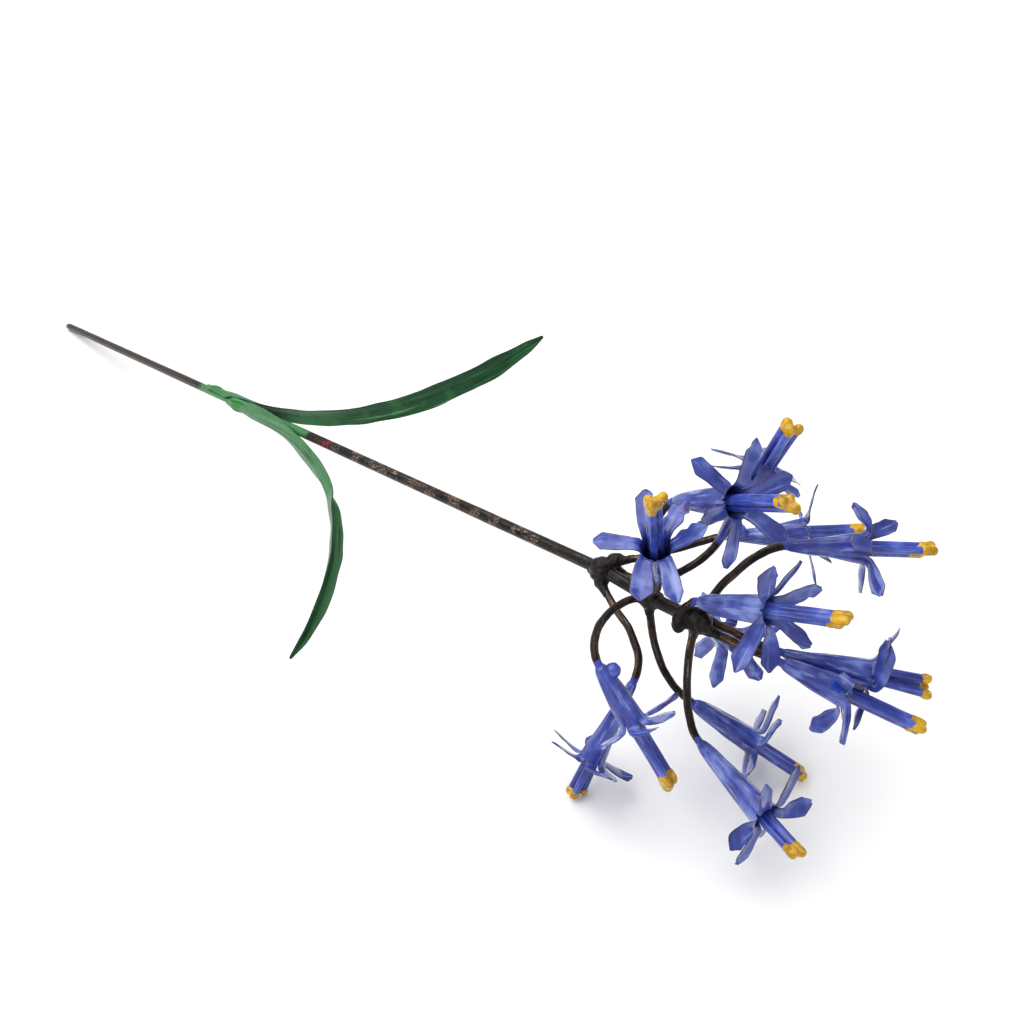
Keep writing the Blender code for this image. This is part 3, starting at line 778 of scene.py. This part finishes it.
def stem_steel():
    """Stem steel: scratched bare past the leaves, and green where the leaves' paint took it in."""
    f = Patina("dark_steel_rod", *ROD_BROWNS, 520.0, 0.2)
    f.painted(f.times(f.band(*BROWNED, 10), 0.7), CUT_END_BROWN)
    scratch = f.along_grain(f.ways, (0.5, 0.5, 1.8), detail=2.0, distortion=2.5)
    thin = f.ramp(f.math("ABSOLUTE", f.less(scratch, 0.5)), 0.014, 0.006)
    thin = f.times(thin, f.ramp(f.noise(f.spot, 90.0, detail=2.0), 0.46, 0.52))
    f.painted(f.times(thin, f.band(*SCRATCHED, 20, soft=20.0)), BARE_STEEL)
    fleck = f.ramp(f.noise(f.spot, 260.0), 0.49, 0.56)
    f.painted(f.times(fleck, f.band(*FLECKED, PAINT_RAGGED)), RED_PAINT)
    f.painted(f.band(*GREENED, PAINT_RAGGED), GREEN_ON_STEM)
    return f.finish()


def leaf_enamel(name, deep, shade, deep_from, deep_to):
    """Green enamel, pale near the stem and deeper further out, with dark creases along it; its pale streaks
    carry a painted sheen, and on the inner faces painted shade darkens the strip sooner and where it hides
    by the stem.
    """
    f = Finish(name)
    grain = f.grain()
    place = f.place()
    out = f.stored("depth")
    colour = f.mix(f.ramp(out, 0.1, 0.2, soft=True), LEAF_BASE, LEAF_NEAR)
    colour = f.mix(f.ramp(out, deep_from, deep_to, soft=True), colour, deep)
    streak = f.along_grain(grain, (0.75, 1.0, 0.8), detail=4.0, rough=0.65)
    wash = f.noise(place, 60.0, detail=3.0)
    colour = f.laid(colour, LEAF_WASH, f.ramp(wash, 0.5, 0.66, soft=True), 0.4)
    # Brush streaks laid pale: partly real streaks, partly a painted sheen
    colour = f.laid(colour, LEAF_PALE_SHEEN, f.ramp(streak, 0.56, 0.7, soft=True), 0.5)
    colour = f.laid(colour, LEAF_DARK, f.ramp(streak, 0.45, 0.34, soft=True), 0.85)
    crease = f.ramp(f.math("ABSOLUTE", f.axis(grain, "Y")), 0.07, 0.02)
    crease = f.times(crease, f.ramp(f.noise(place, 70.0), 0.4, 0.55))
    colour = f.laid(colour, LEAF_CREASE, crease, 0.75)
    ragged = f.times(f.ramp(f.noise(place, 500.0, detail=3.0), 0.35, 0.7), 0.5)
    worn = f.times(f.ramp(f.less(f.stored("near_edge"), ragged), 0.15, -0.05), 0.8)
    chips = f.ramp(f.noise(place, 190.0, detail=5.0, rough=0.72), 0.7, 0.72)
    worn = f.math("MAXIMUM", worn, chips)
    colour = f.mix(worn, colour, LEAF_BARE)
    # Painted shade on the inner face near the base, where it hides by the stem
    gap_shade = f.times(f.ramp(out, 0.13, 0.19), f.ramp(out, 0.4, 0.28))
    colour = f.laid(colour, LEAF_GAP_SHADE, gap_shade, shade)
    fine = f.along_grain(grain, (2.4, 1.0, 1.5), detail=3.0)
    normal = f.bump(f.noise(place, 120.0, detail=2.0), 0.8, 0.7)
    normal = f.bump(fine, 0.2, 0.8, under=normal)
    rough = f.level(worn, f.level(f.ramp(streak, 0.3, 0.7), 0.3, 0.45), BARE_ROUGH)
    return f.done(colour, rough, normal, coat=0.05, specular=0.14)


BLUE = enamel("blue_enamel_sheet", *SHEET_BLUES, 0.3)
BLUE_RIM = enamel("blue_enamel_rim", *RIM_BLUES, 0.75)
BLUE_INSIDE = enamel("blue_enamel_inside", *SHEET_BLUES, 0.3, inside=MOUTH_SHADE)
BLUE_ROD = enamel("blue_enamel_rod", *ROD_BLUES, 0.0, streaks=0.7)
YELLOW = weld_paint("yellow_enamel_weld", *YELLOWS, YELLOW_DARK_SPOTS)
GREEN = leaf_enamel("green_enamel_leaf", LEAF_DEEP, 0.0, 0.5, 1.1)
# The inner faces darken sooner and further, and carry the gap shade: painted shade on them
GREEN_INSIDE = {
    "leaf_lower": leaf_enamel("green_enamel_inside", LOWER_INSIDE_SHADE, 0.9, 0.3, 0.65),
    "leaf_upper": leaf_enamel("green_enamel_inside_upper", UPPER_INSIDE_SHADE, 0.9, 0.3, 0.6),
}
STEEL = wire_steel()
ROD = stem_steel()
WELD = Patina("dark_steel_weld", *WELD_BROWNS, 380.0, 0.4).finish()


# Florets

def petal_stations(length):
    """Distances of the rows of points along a petal, close together round its shoulders."""
    ends = (0.0, PETAL_BEND, *(share * length for share in PETAL_ROW_SHARES), length)
    stations = []
    for low, high, count in zip(ends, ends[1:], PETAL_ROWS):
        stations += [low + (high - low) * (k + 1) / count for k in range(count)]
    return stations


def petal_sides(floret, k, seed):
    """How wide petal k is to its left and right: cut by hand, so each side has its own shoulder."""
    length = floret.lengths[k]
    chord = floret.mouth * math.tan(math.pi / PETALS) * PETAL_CHORD_SHARE
    sides = []
    for side in (0, 1):
        shoulder = PETAL_SHOULDER + SHOULDER_VARIES * waver((k, seed, side * 9), 1.3, seed + 4)
        broad = WIDER.get((floret.name, k), 1.0)
        broad += WIDTH_VARIES * waver((k, seed, side * 4 + 6), 1.1, seed + 2)
        tip = PETAL_TIP_HALF + TIP_VARIES * waver((k, seed, side * 5 + 2), 1.2, seed + 6)
        middle = max(length * PETAL_MIDDLE, PETAL_BEND + 0.5)
        stations = (0, PETAL_BEND * 0.4, PETAL_BEND, middle, length * shoulder, length)
        halves = (PETAL_MIDDLE_HALF * broad, PETAL_SHOULDER_HALF * broad, max(tip, PETAL_TIP_LEAST))
        sides.append((stations, (chord, *PETAL_BEND_HALVES, *halves)))
    return sides


def petal_grid(floret, k, seed):
    """Rows of points across petal k past the rim, with how near each is to an edge."""
    azimuth = math.radians(floret.roll + 360 * k / PETALS)
    length = floret.lengths[k]
    full_lean, full_sway, full_twist = BENT_FURTHER.get(
        (floret.name, k), (floret.leans[k], floret.sways[k], floret.twists[k])
    )
    flare = math.degrees(math.atan2(floret.mouth - CONE_BASE_RADIUS, floret.cone))
    sides = petal_sides(floret, k, seed)
    skew = SKEW_VARIES * waver((k, seed, 0), 1.7, seed)
    own_twist = TWIST_VARIES * waver((k, seed, 3), 1.3, seed + 1)
    own_curl = CURL_VARIES * waver((k, seed, 5), 1.2, seed + 3)
    middle = Vector((math.cos(azimuth), math.sin(azimuth), 0)) * floret.mouth
    middle.z = floret.cone
    travelled = 0.0
    rows = []
    for station in petal_stations(length):
        while travelled < station:
            run = min(PETAL_STEP, station - travelled)
            bent = ease((travelled + run / 2) / PETAL_BEND)
            lean = flare + (full_lean - flare) * bent + PETAL_CURL * (travelled / length) ** 2
            past = (travelled / length - CURL_VARIES_FROM) / (1 - CURL_VARIES_FROM)
            lean = math.radians(lean + own_curl * ease(past))
            turned = azimuth + math.radians(full_sway) * ease((travelled + run / 2) / PETAL_TURN)
            out = Vector((math.cos(turned), math.sin(turned), 0))
            middle = middle + run * (math.sin(lean) * out + Vector((0, 0, math.cos(lean))))
            travelled += run
        ahead = math.sin(lean) * out + Vector((0, 0, math.cos(lean)))
        twist = full_twist * ease((station - PETAL_TWIST_START) / PETAL_TWIST_RUN)
        twist += own_twist * ease(station / length - TWIST_VARIES_FROM)
        turn = Matrix.Rotation(math.radians(twist), 3, ahead)
        across = turn @ Vector((-out.y, out.x, 0))
        inward = turn @ (Vector((0, 0, math.sin(lean))) - math.cos(lean) * out)
        round_sag = floret.mouth * (1 - math.cos(math.pi / PETALS)) * (1 - CONE_FACETS)
        sag = PETAL_CREASE + (round_sag - PETAL_CREASE) * (1 - ease(travelled / PETAL_BEND))
        loose = ease((station - PETAL_BEND) / length)
        line = []
        for j in range(PETAL_COLUMNS + 1):
            u = 2 * j / PETAL_COLUMNS - 1
            half = between(*sides[0 if u < 0 else 1], station)
            if station <= PETAL_BEND:
                half *= floret.mouth / CONE_MOUTH_RADIUS
            wave = waver((station, 9 * math.copysign(1, u), k), 2.6, seed + 4)
            rough = 1 + EDGE_VARIES * wave * abs(u)
            for at, side, deep in BITES.get((floret.name, k), ()):
                if side * u > 0:
                    rough *= 1 - deep * abs(u) * math.exp(-(((station - at) / BITE_REACH) ** 2))
            point = middle + across * (u * half * rough + skew * loose)
            point += inward * sag * (abs(u) ** PETAL_CREASE_POWER)
            point += inward * loose * PETAL_BUCKLE * waver((station * 0.7, u * 3, k * 9), 5.5, seed + 5)
            line.append((point, half * (1 - abs(u)), station))
        rows.append(line)
    return rows


def cone_point(floret, seed, share, turn):
    """A point of the cone at a share of its height and a turn round it, and how near its seam is."""
    radius = CONE_BASE_RADIUS + (floret.mouth - CONE_BASE_RADIUS) * share
    azimuth = math.radians(floret.roll + turn)
    facing = Vector((math.cos(azimuth), math.sin(azimuth), 0))
    sector = 360 / PETALS
    off = math.radians((turn + sector / 2) % sector - sector / 2)
    radius *= 1 + CONE_FACETS * share * (1 / math.cos(off) - 1)
    free = 0.0
    if share < CONE_UNEVEN_TO:
        free = math.sin(math.pi * min(share * CONE_FADE, 1.0)) ** CONE_FADE_POWER
    dent = DENT * waver(facing * 2.2 + Vector((0, 0, share * 3)), 1.0, seed)
    ridge = RIDGE * abs(waver(facing * 2.4 + Vector((0, 0, share)), 1.0, seed + 7))
    past_seam = (floret.roll + turn - SEAMS.get(floret.name, seed * SEAM_STEP)) % 360
    lap = SEAM_LAPS.get(floret.name, SEAM_LAP) * max(0.0, 1 - past_seam / SEAM_WIDTH)
    belly = BELLIES.get(floret.name, 0.0) * math.sin(math.pi * share**BELLY_POWER)
    local = facing * (radius + belly + free * (dent - ridge + lap))
    local.z = SHEET / 2 + (floret.cone - SHEET / 2) * share
    at_seam = past_seam < 360 / (PETALS * PETAL_COLUMNS) and SEAM_FROM < share < CONE_UNEVEN_TO
    return local, facing * radius, SEAM_EDGE if at_seam else NO_EDGE


def corolla(floret, seed):
    """The cone and its petals as one bent sheet, dented and creased by hand."""
    to_part = floret_matrix(floret)
    columns = PETALS * PETAL_COLUMNS
    points, near, grain, depth, faces = [], [], [], [], []

    def add(local, edge, along, ring, deep):
        points.append(to_part @ local)
        near.append(min(edge, NO_EDGE))
        grain.append((ring.x, ring.y, along * GRAIN_STRETCH + seed * GRAIN_SHIFT))
        depth.append(deep)

    add(Vector((0, 0, SHEET / 2)), NO_EDGE, 0.0, Vector((0, 0, 0)), floret.cone)
    for row in range(CONE_ROWS + 1):
        share = row / CONE_ROWS
        for column in range(columns):
            turn = (column - PETAL_COLUMNS / 2) / columns * 360
            local, ring, edge = cone_point(floret, seed, share, turn)
            add(local, edge, local.z, ring, floret.cone - local.z)
    for column in range(columns):
        after = (column + 1) % columns
        faces.append((0, 1 + after, 1 + column))
        for row in range(CONE_ROWS):
            low, high = 1 + row * columns, 1 + (row + 1) * columns
            faces.append((low + column, low + after, high + after, high + column))
    rim = 1 + CONE_ROWS * columns
    for k in range(PETALS):
        last = [rim + (PETAL_COLUMNS * k + j) % columns for j in range(PETAL_COLUMNS + 1)]
        azimuth = math.radians(floret.roll + 360 * k / PETALS)
        facing = Vector((math.cos(azimuth), math.sin(azimuth), 0))
        side = Vector((-facing.y, facing.x, 0))
        for line in petal_grid(floret, k, seed):
            fresh = []
            for j, (local, edge, station) in enumerate(line):
                u = 2 * j / PETAL_COLUMNS - 1
                ring = facing * floret.mouth + side * u * PETAL_BEND_HALVES[-1]
                fresh.append(len(points))
                add(local, edge, floret.cone + station, ring, -station)
            for j in range(PETAL_COLUMNS):
                faces.append((last[j], last[j + 1], fresh[j + 1], fresh[j]))
            last = fresh
    name = "corolla_" + floret.name
    finishes = [BLUE, BLUE_RIM, BLUE_INSIDE]
    obj = finished(name + "_sheet", points, faces, finishes, grain, near, depth, closed=False)
    thickened(obj, SHEET * SHEET_SHARE, far_side=2, clamp=2.0)
    mounted(obj, "blue_enamel", name)


def knob(floret, seed):
    """The lump of weld on the side of a cone, under the same paint."""
    height, side = floret.knob
    to_part = floret_matrix(floret)
    foot = direction(side, 0) * (KNOB_OUT - KNOB_FOOT_DEPTH) + Vector((0, 0, height))
    shapes = [ball(to_part @ (direction(side, 0) * KNOB_OUT + Vector((0, 0, height))), KNOB_RADIUS)]
    for rise in KNOB_FOOT_RISES:
        shapes.append(ball(to_part @ (foot + Vector((0, 0, rise))), KNOB_FOOT_RADIUS))
    obj = melted("knob_" + floret.name, shapes, BLUE_ROD, KNOB_VOXEL, KNOB_LUMPS, seed)
    attribute(obj.data, "near_edge", [NO_EDGE] * len(obj.data.vertices))
    turned = [c for v in obj.data.vertices for c in (v.co.x / MM, v.co.y / MM, v.co.z / MM * 0.1)]
    attribute(obj.data, "grain", turned, vector=True)
    mounted(obj, "blue_enamel")


def rod_ends(floret, k, spare=0.0):
    """Where stamen rod k starts and where its blue part ends, in the floret's own axes, X being down."""
    side = direction(floret.turn + 120 * k, 0)
    needed = (ROD_CIRCLE + ROD_RADIUS + GAP + SHEET / 2) / math.cos(math.pi / (2 * PETALS))
    low = side * ROD_CIRCLE
    clear = floret.cone * (needed - CONE_BASE_RADIUS) / (floret.mouth - CONE_BASE_RADIUS)
    low.z = clear + ROD_STAGGER * k
    out, along = TRIMMED.get((floret.name, k), (0.0, 0.0))
    high = side * (ROD_CIRCLE + floret.splay[k] + out)
    high.z = floret.reach - TIP_LENGTH + along + spare - SLANTS.get(floret.name, 0.0) * side.x
    return low, high


def stamens(floret, seed):
    """Three rods side by side with weld metal in the grooves between them."""
    to_part = floret_matrix(floret)
    tubes, grain, near = [], [], []
    together = OPEN_GROOVE if max(floret.splay) or floret.name in OPEN_BUNDLES else 1.0
    spare = ROD_IN_TIP + BLUE_TIPS.get(floret.name, 0.0) * TIP_LENGTH / 2
    runs = [(rod_ends(floret, k, spare), ROD_RADIUS, 1.0, NO_EDGE) for k in range(3)]
    for k in range(3):
        (low, high), (low_next, high_next) = rod_ends(floret, k), rod_ends(floret, (k + 1) % 3)
        groove = ((low + low_next) * GROOVE_OUT, (high + high_next) * GROOVE_OUT)
        groove[0].z, groove[1].z = low.z + 1, high.z
        # The groove's low near_edge value paints shade between the rods
        runs.append((groove, GROOVE_RADIUS, together, GROOVE_SHADE))
    for number, ((low, high), radius, reach, edge) in enumerate(runs):
        path, radii = [], []
        for row in range(ROD_ROWS + 1):
            point = low.lerp(high, row / ROD_ROWS * reach)
            point.x += ROD_WANDER * waver((point.z, number * 9, 1), ROD_WANDER_LENGTH, seed)
            point.y += ROD_WANDER * waver((point.z, number * 9, 5), ROD_WANDER_LENGTH, seed)
            path.append(to_part @ point)
            radii.append(radius * (1 + ROD_UNEVEN * waver((row * 2.0, number * 7, 2), 5.0, seed)))
        tube_points, tube_faces, tube_grain = tube(path, radii, ROUND_SIDES)
        tubes.append((tube_points, tube_faces))
        grain += [(x + number * 5, y + seed * GRAIN_SHIFT, z) for x, y, z in tube_grain]
        near += [edge] * len(tube_points)
    name = "stamens_" + floret.name
    obj = finished(name + "_rods", *gathered(tubes), [BLUE_ROD], grain, near)
    mounted(obj, "blue_enamel", name)


def tip_shapes(floret, members, apart, seed):
    """Balls along the ends of some of a floret's rods, and between them where they stand together."""
    to_part = floret_matrix(floret)
    start = BLUE_TIPS.get(floret.name, 0.0)
    centre = sum((rod_ends(floret, k)[1] for k in members), Vector()) / len(members)
    shapes = []
    for k in members:
        low, high = rod_ends(floret, k)
        along = (high - low).normalized()
        size = TIP_APART_BALL
        if not apart:
            size = TIP_SIZES.get(floret.name, TIP_BALL) + TIP_VARIES_SIZE * waver((k, seed, 3), 1.3, seed)
        last = TIP_END + TIP_VARIES_END * waver((k, seed, 8), 1.3, seed)
        for step in range(TIP_ROWS + 1):
            share = start + (last - start) * step / TIP_ROWS
            first, rest = TIP_APART_GROWTH
            grown = size * (first + rest * ease(step / TIP_APART_GROWN)) if apart else size
            point = high + along * share * TIP_LENGTH
            shapes.append(ball(to_part @ point, grown))
            if len(members) > 1 and not apart and step < TIP_BETWEEN_ROWS:
                inner = point.lerp(centre + along * share * TIP_LENGTH, TIP_BETWEEN_SHARE)
                shapes.append(ball(to_part @ inner, TIP_BETWEEN_BALL))
    if floret.name in DROPS:
        k, out, along, size = DROPS[floret.name]
        side = direction(floret.turn + 120 * k, 0)
        shapes.append(ball(to_part @ (rod_ends(floret, k)[1] + side * out + Vector((0, 0, along))), size))
    return shapes


def tips(floret, seed):
    """Yellow weld metal run over the rod ends: a ball where a rod stands apart, otherwise one lump."""
    apart = [k for k in range(3) if floret.splay[k] > 2]
    groups = [([k for k in range(3) if k not in apart], "tips_" + floret.name)]
    groups += [([k], "tip_apart_" + floret.name) for k in apart]
    smooth = TIP_SMOOTHING.get(floret.name, TIP_SMOOTHING_USUAL)
    for members, node in groups:
        shapes = tip_shapes(floret, members, apart, seed)
        obj = melted(node + "_weld", shapes, YELLOW, TIP_VOXEL, TIP_LUMPS, seed, smooth)
        for v in obj.data.vertices:
            v.co.z = max(v.co.z, 0.0)
        mounted(obj, "yellow_enamel", node)


def wire(floret, seed):
    """The bent wire from the weld to the floret, with the small wavers of hand bending."""
    ends = wire_ends(floret)
    path, radii = [], []
    for row in range(WIRE_ROWS + 1):
        share = row / WIRE_ROWS
        loose = math.sin(math.pi * share)
        shift = Vector([waver((share * 60, 0, c * 9), WIRE_WANDER_LENGTH, seed) for c in range(3)])
        path.append(bezier(ends, share) + shift * WIRE_WANDER * loose)
        radii.append(WIRE_RADIUS * (1 + WIRE_UNEVEN * waver((row * 1.5, 3, 0), 5.0, seed)))
    points, faces, grain = tube(path, radii, ROUND_SIDES)
    to_floret = [(p - path[-1]).length for p in points]
    obj = finished("pedicel_" + floret.name + "_wire", points, faces, [STEEL], grain, to_floret)
    mounted(obj, "dark_steel", "pedicel_" + floret.name)


# Stem, welds and leaves

def stem():
    """The rod, a little uneven along its length."""
    path = [STEM_END + (WELDS[1] - STEM_END) * (k / STEM_ROWS) for k in range(STEM_ROWS + 1)]
    for first, second in ((WELDS[1], WELDS[2]), (WELDS[2], WELDS[3])):
        path += [first.lerp(second, k / STEM_HEAD_ROWS) for k in range(1, STEM_HEAD_ROWS + 1)]
    radii = []
    for k in range(len(path)):
        wave = waver((k * STEM_ROW_LENGTH, 0, 0), STEM_UNEVEN_LENGTH, 3)
        radii.append(STEM_RADIUS * (1 + STEM_UNEVEN * wave))
    radii[0] = STEM_RADIUS * STEM_END_SHARE
    points, faces, grain = tube(path, radii, STEM_SIDES)
    for point in points:
        point.z = max(point.z, 0.0)
    obj = finished("stem_rod", points, faces, [ROD], grain)
    mounted(obj, "dark_steel", "stem")


def welds():
    """The three lumps of weld metal that hold the wires."""
    stem_along = (WELDS[1] - STEM_END).normalized()
    for number, centre in WELDS.items():
        shapes = [ball(centre, *BEAD_RADII[number])]
        for k, shift in enumerate(WELD_SHIFTS):
            waves = [waver((k * 3, c * 5, number), 2.0, number * 5) for c in range(3)]
            off = Vector([WELD_SHIFT_VARIES * wave for wave in waves])
            shapes.append(ball(centre + stem_along * shift + off, WELD_BALL))
        for floret in (f for f in FLORETS if f.weld == number):
            ends = wire_ends(floret)
            run = sum((ends[j + 1] - ends[j]).length for j in range(3))
            for step in range(WELD_WIRE_ROWS + 1):
                size = WELD_WIRE_BALL - WELD_WIRE_TAPER * ease(step / WELD_WIRE_ROWS)
                shapes.append(ball(bezier(ends, step * WELD_WIRE_STEP / run), size))
        name = f"stem_weld_{number}"
        obj = melted(name, shapes, WELD, WELD_VOXEL, WELD_LUMPS, number * 11, WELD_SMOOTHING)
        mounted(obj, "dark_steel")


def leaf_spine(side_sign, run, share):
    """A point of the leaf's crease, its direction and the way its clasp opens."""
    stem_along = (WELDS[1] - STEM_END).normalized()
    away = (LEAF_SIDE * side_sign).normalized()
    away = (away - stem_along * away.dot(stem_along)).normalized()
    ends = [Vector((p[0], p[1], 0)) for p in run[1:]]
    if share < LEAF_CLASP_SHARE:
        along = run[0] + (run[1][0] - run[0]) * share / LEAF_CLASP_SHARE
        flat = Vector((along, run[1][1], 0))
        ahead = Vector((1, 0, 0))
    else:
        part = (share - LEAF_CLASP_SHARE) / (1 - LEAF_CLASP_SHARE)
        flat = bezier(ends, part)
        ahead = (bezier(ends, part + 0.01) - bezier(ends, part - 0.01)).normalized()
    point = STEM_END + stem_along * flat.x + away * flat.y
    forward = (stem_along * ahead.x + away * ahead.y).normalized()
    inward = (stem_along * ahead.y - away * ahead.x).normalized()
    return point, forward, inward


def leaf_twist(twists, share):
    """How far the strip is turned about its crease: one angle past the clasp, another further on."""
    further = ease((share - TURN_FROM) / TURN_RUN)
    opened = ease((share - LEAF_CLASP_SHARE) / LEAF_OPENING)
    return opened * (twists[0] * (1 - further) + twists[1] * further)


def leaf(name, side_sign, twists, run, seed):
    """A folded strip of sheet with wavering edges and small hammered creases."""
    clasp = run[1][1]
    points, faces, grain, near, out = [], [], [], [], []
    for row in range(LEAF_ROWS + 1):
        share = row / LEAF_ROWS
        at = row * LEAF_ROW_LENGTH
        point, forward, inward = leaf_spine(side_sign, run, share)
        inward = Matrix.Rotation(math.radians(leaf_twist(twists, share)), 3, forward) @ inward
        across = forward.cross(inward).normalized()
        opened = ease((share - LEAF_CLASP_SHARE) / LEAF_OPENING)
        bulge = sum(
            high * math.exp(-(((share - where) / reach) ** 2)) for high, where, reach in LEAF_BULGES
        )
        point = point - inward * bulge
        half = between(LEAF_SHARES, LEAF_HALF_WIDTHS, share) * (1 + BULGE_WIDENS * bulge)
        wrap = LEAF_WRAP * ease(share / WRAP_START) * ease((WRAP_ENDS[side_sign] - share) / WRAP_FADE)
        deeper = DEEP_FOLD.get(name, 0.0) * ease((share - DEEP_FOLD_FROM) / TURN_RUN)
        fold = math.radians(LEAF_FOLD + deeper)
        bow = clasp + bulge
        for j in range(LEAF_COLUMNS + 1):
            u = 2 * j / LEAF_COLUMNS - 1
            uneven = 1 + LEAF_EDGE_VARIES * waver((at, 7 * math.copysign(1, u), 0), 14.0, seed) * abs(u)
            width = half * u * uneven * (1 + (wrap if u * side_sign > 0 else 0.0))
            bent = width / bow
            curled = across * bow * math.sin(bent) + inward * bow * (1 - math.cos(bent))
            soft = math.sqrt(width * width + CREASE_SOFT) - math.sqrt(CREASE_SOFT)
            folded = across * width * math.cos(fold) + inward * soft * math.sin(fold)
            ripple = LEAF_RIPPLE * waver((at, width * 1.5, 0), 12.0, seed + 3) * opened
            points.append(point + curled.lerp(folded, opened) + inward * ripple)
            lengthways = share * LEAF_GRAIN_RUN
            grain.append((width + seed * LEAF_GRAIN_SHIFT, width * LEAF_GRAIN_ACROSS, lengthways))
            near.append(half * (1 - abs(u)))
            out.append(share)
    across_count = LEAF_COLUMNS + 1
    for row in range(LEAF_ROWS):
        for j in range(LEAF_COLUMNS):
            low = row * across_count + j
            faces.append((low, low + 1, low + 1 + across_count, low + across_count))
    finishes = [GREEN_INSIDE[name], GREEN]
    obj = finished(name + "_sheet", points, faces, finishes, grain, near, out, closed=False)
    thickened(obj, LEAF_SHEET * LEAF_SHEET_SHARE, far_side=1)
    mounted(obj, "green_enamel", name)


def build():
    """Makes every piece, floret by floret, then the stem, the welds and the leaves."""
    for number, floret in enumerate(FLORETS):
        seed = number + 1
        corolla(floret, seed)
        stamens(floret, seed)
        tips(floret, seed)
        wire(floret, seed)
        if floret.knob:
            knob(floret, seed)
    stem()
    welds()
    for number, (name, (side_sign, twists, run)) in enumerate(LEAVES.items()):
        leaf(name, side_sign, twists, run, number + 1)


# Floor, light and camera
FLOOR_HALF = 20000.0
FLOOR_DROP = 0.3
FLOOR_TONES = ((0.85, 0.85, 0.85, 1), (0.87, 0.87, 0.87, 1))
SKY_STRENGTH = 0.55
# Name, heading, rise, width in degrees and power
SUNS = (("overhead", 200, 72, 70, 2.3), ("side", -95, 40, 40, 1.1))
SENSOR_WIDTH = 36.0
LENS = 35.16
CAMERA_PLACE = Vector((1022.7, -293.7, 356.0))
CAMERA_AIM = (139.1, -30.61)


def studio():
    """A plain pale floor, two wide soft lights, and the camera where the photograph was taken."""
    scene = bpy.context.scene
    mesh = bpy.data.meshes.new("floor")
    half = FLOOR_HALF * MM
    corners = [(-half, -half, 0), (half, -half, 0), (half, half, 0), (-half, half, 0)]
    mesh.from_pydata(corners, [], [(0, 1, 2, 3)])
    floor = bpy.data.objects.new("floor", mesh)
    floor.location.z = -FLOOR_DROP * MM
    scene.collection.objects.link(floor)
    f = Finish("floor_paper")
    tone = f.noise(f.place(), 3.0, detail=2.0)
    mesh.materials.append(f.done(f.mix(tone, *FLOOR_TONES), 0.7, specular=0.2))

    world = bpy.data.worlds.new("studio")
    world.use_nodes = True
    sky = world.node_tree.nodes["Background"]
    sky.inputs["Color"].default_value = (1, 1, 1, 1)
    sky.inputs["Strength"].default_value = SKY_STRENGTH
    scene.world = world
    for name, heading, rise, spread, power in SUNS:
        lamp = bpy.data.lights.new(name, "SUN")
        lamp.energy = power
        lamp.angle = math.radians(spread)
        sun = bpy.data.objects.new(name, lamp)
        sun.rotation_euler = (-direction(heading, rise)).to_track_quat("-Z", "Y").to_euler()
        scene.collection.objects.link(sun)

    camera = bpy.data.cameras.new("camera")
    camera.sensor_width = SENSOR_WIDTH
    camera.lens = LENS
    view = bpy.data.objects.new("camera", camera)
    view.location = (CAMERA_PLACE - MIDDLE) * MM
    view.rotation_euler = direction(*CAMERA_AIM).to_track_quat("-Z", "Y").to_euler()
    scene.collection.objects.link(view)
    scene.camera = view
    scene.view_settings.view_transform = "Standard"
    scene.view_settings.look = "None"


build()
studio()
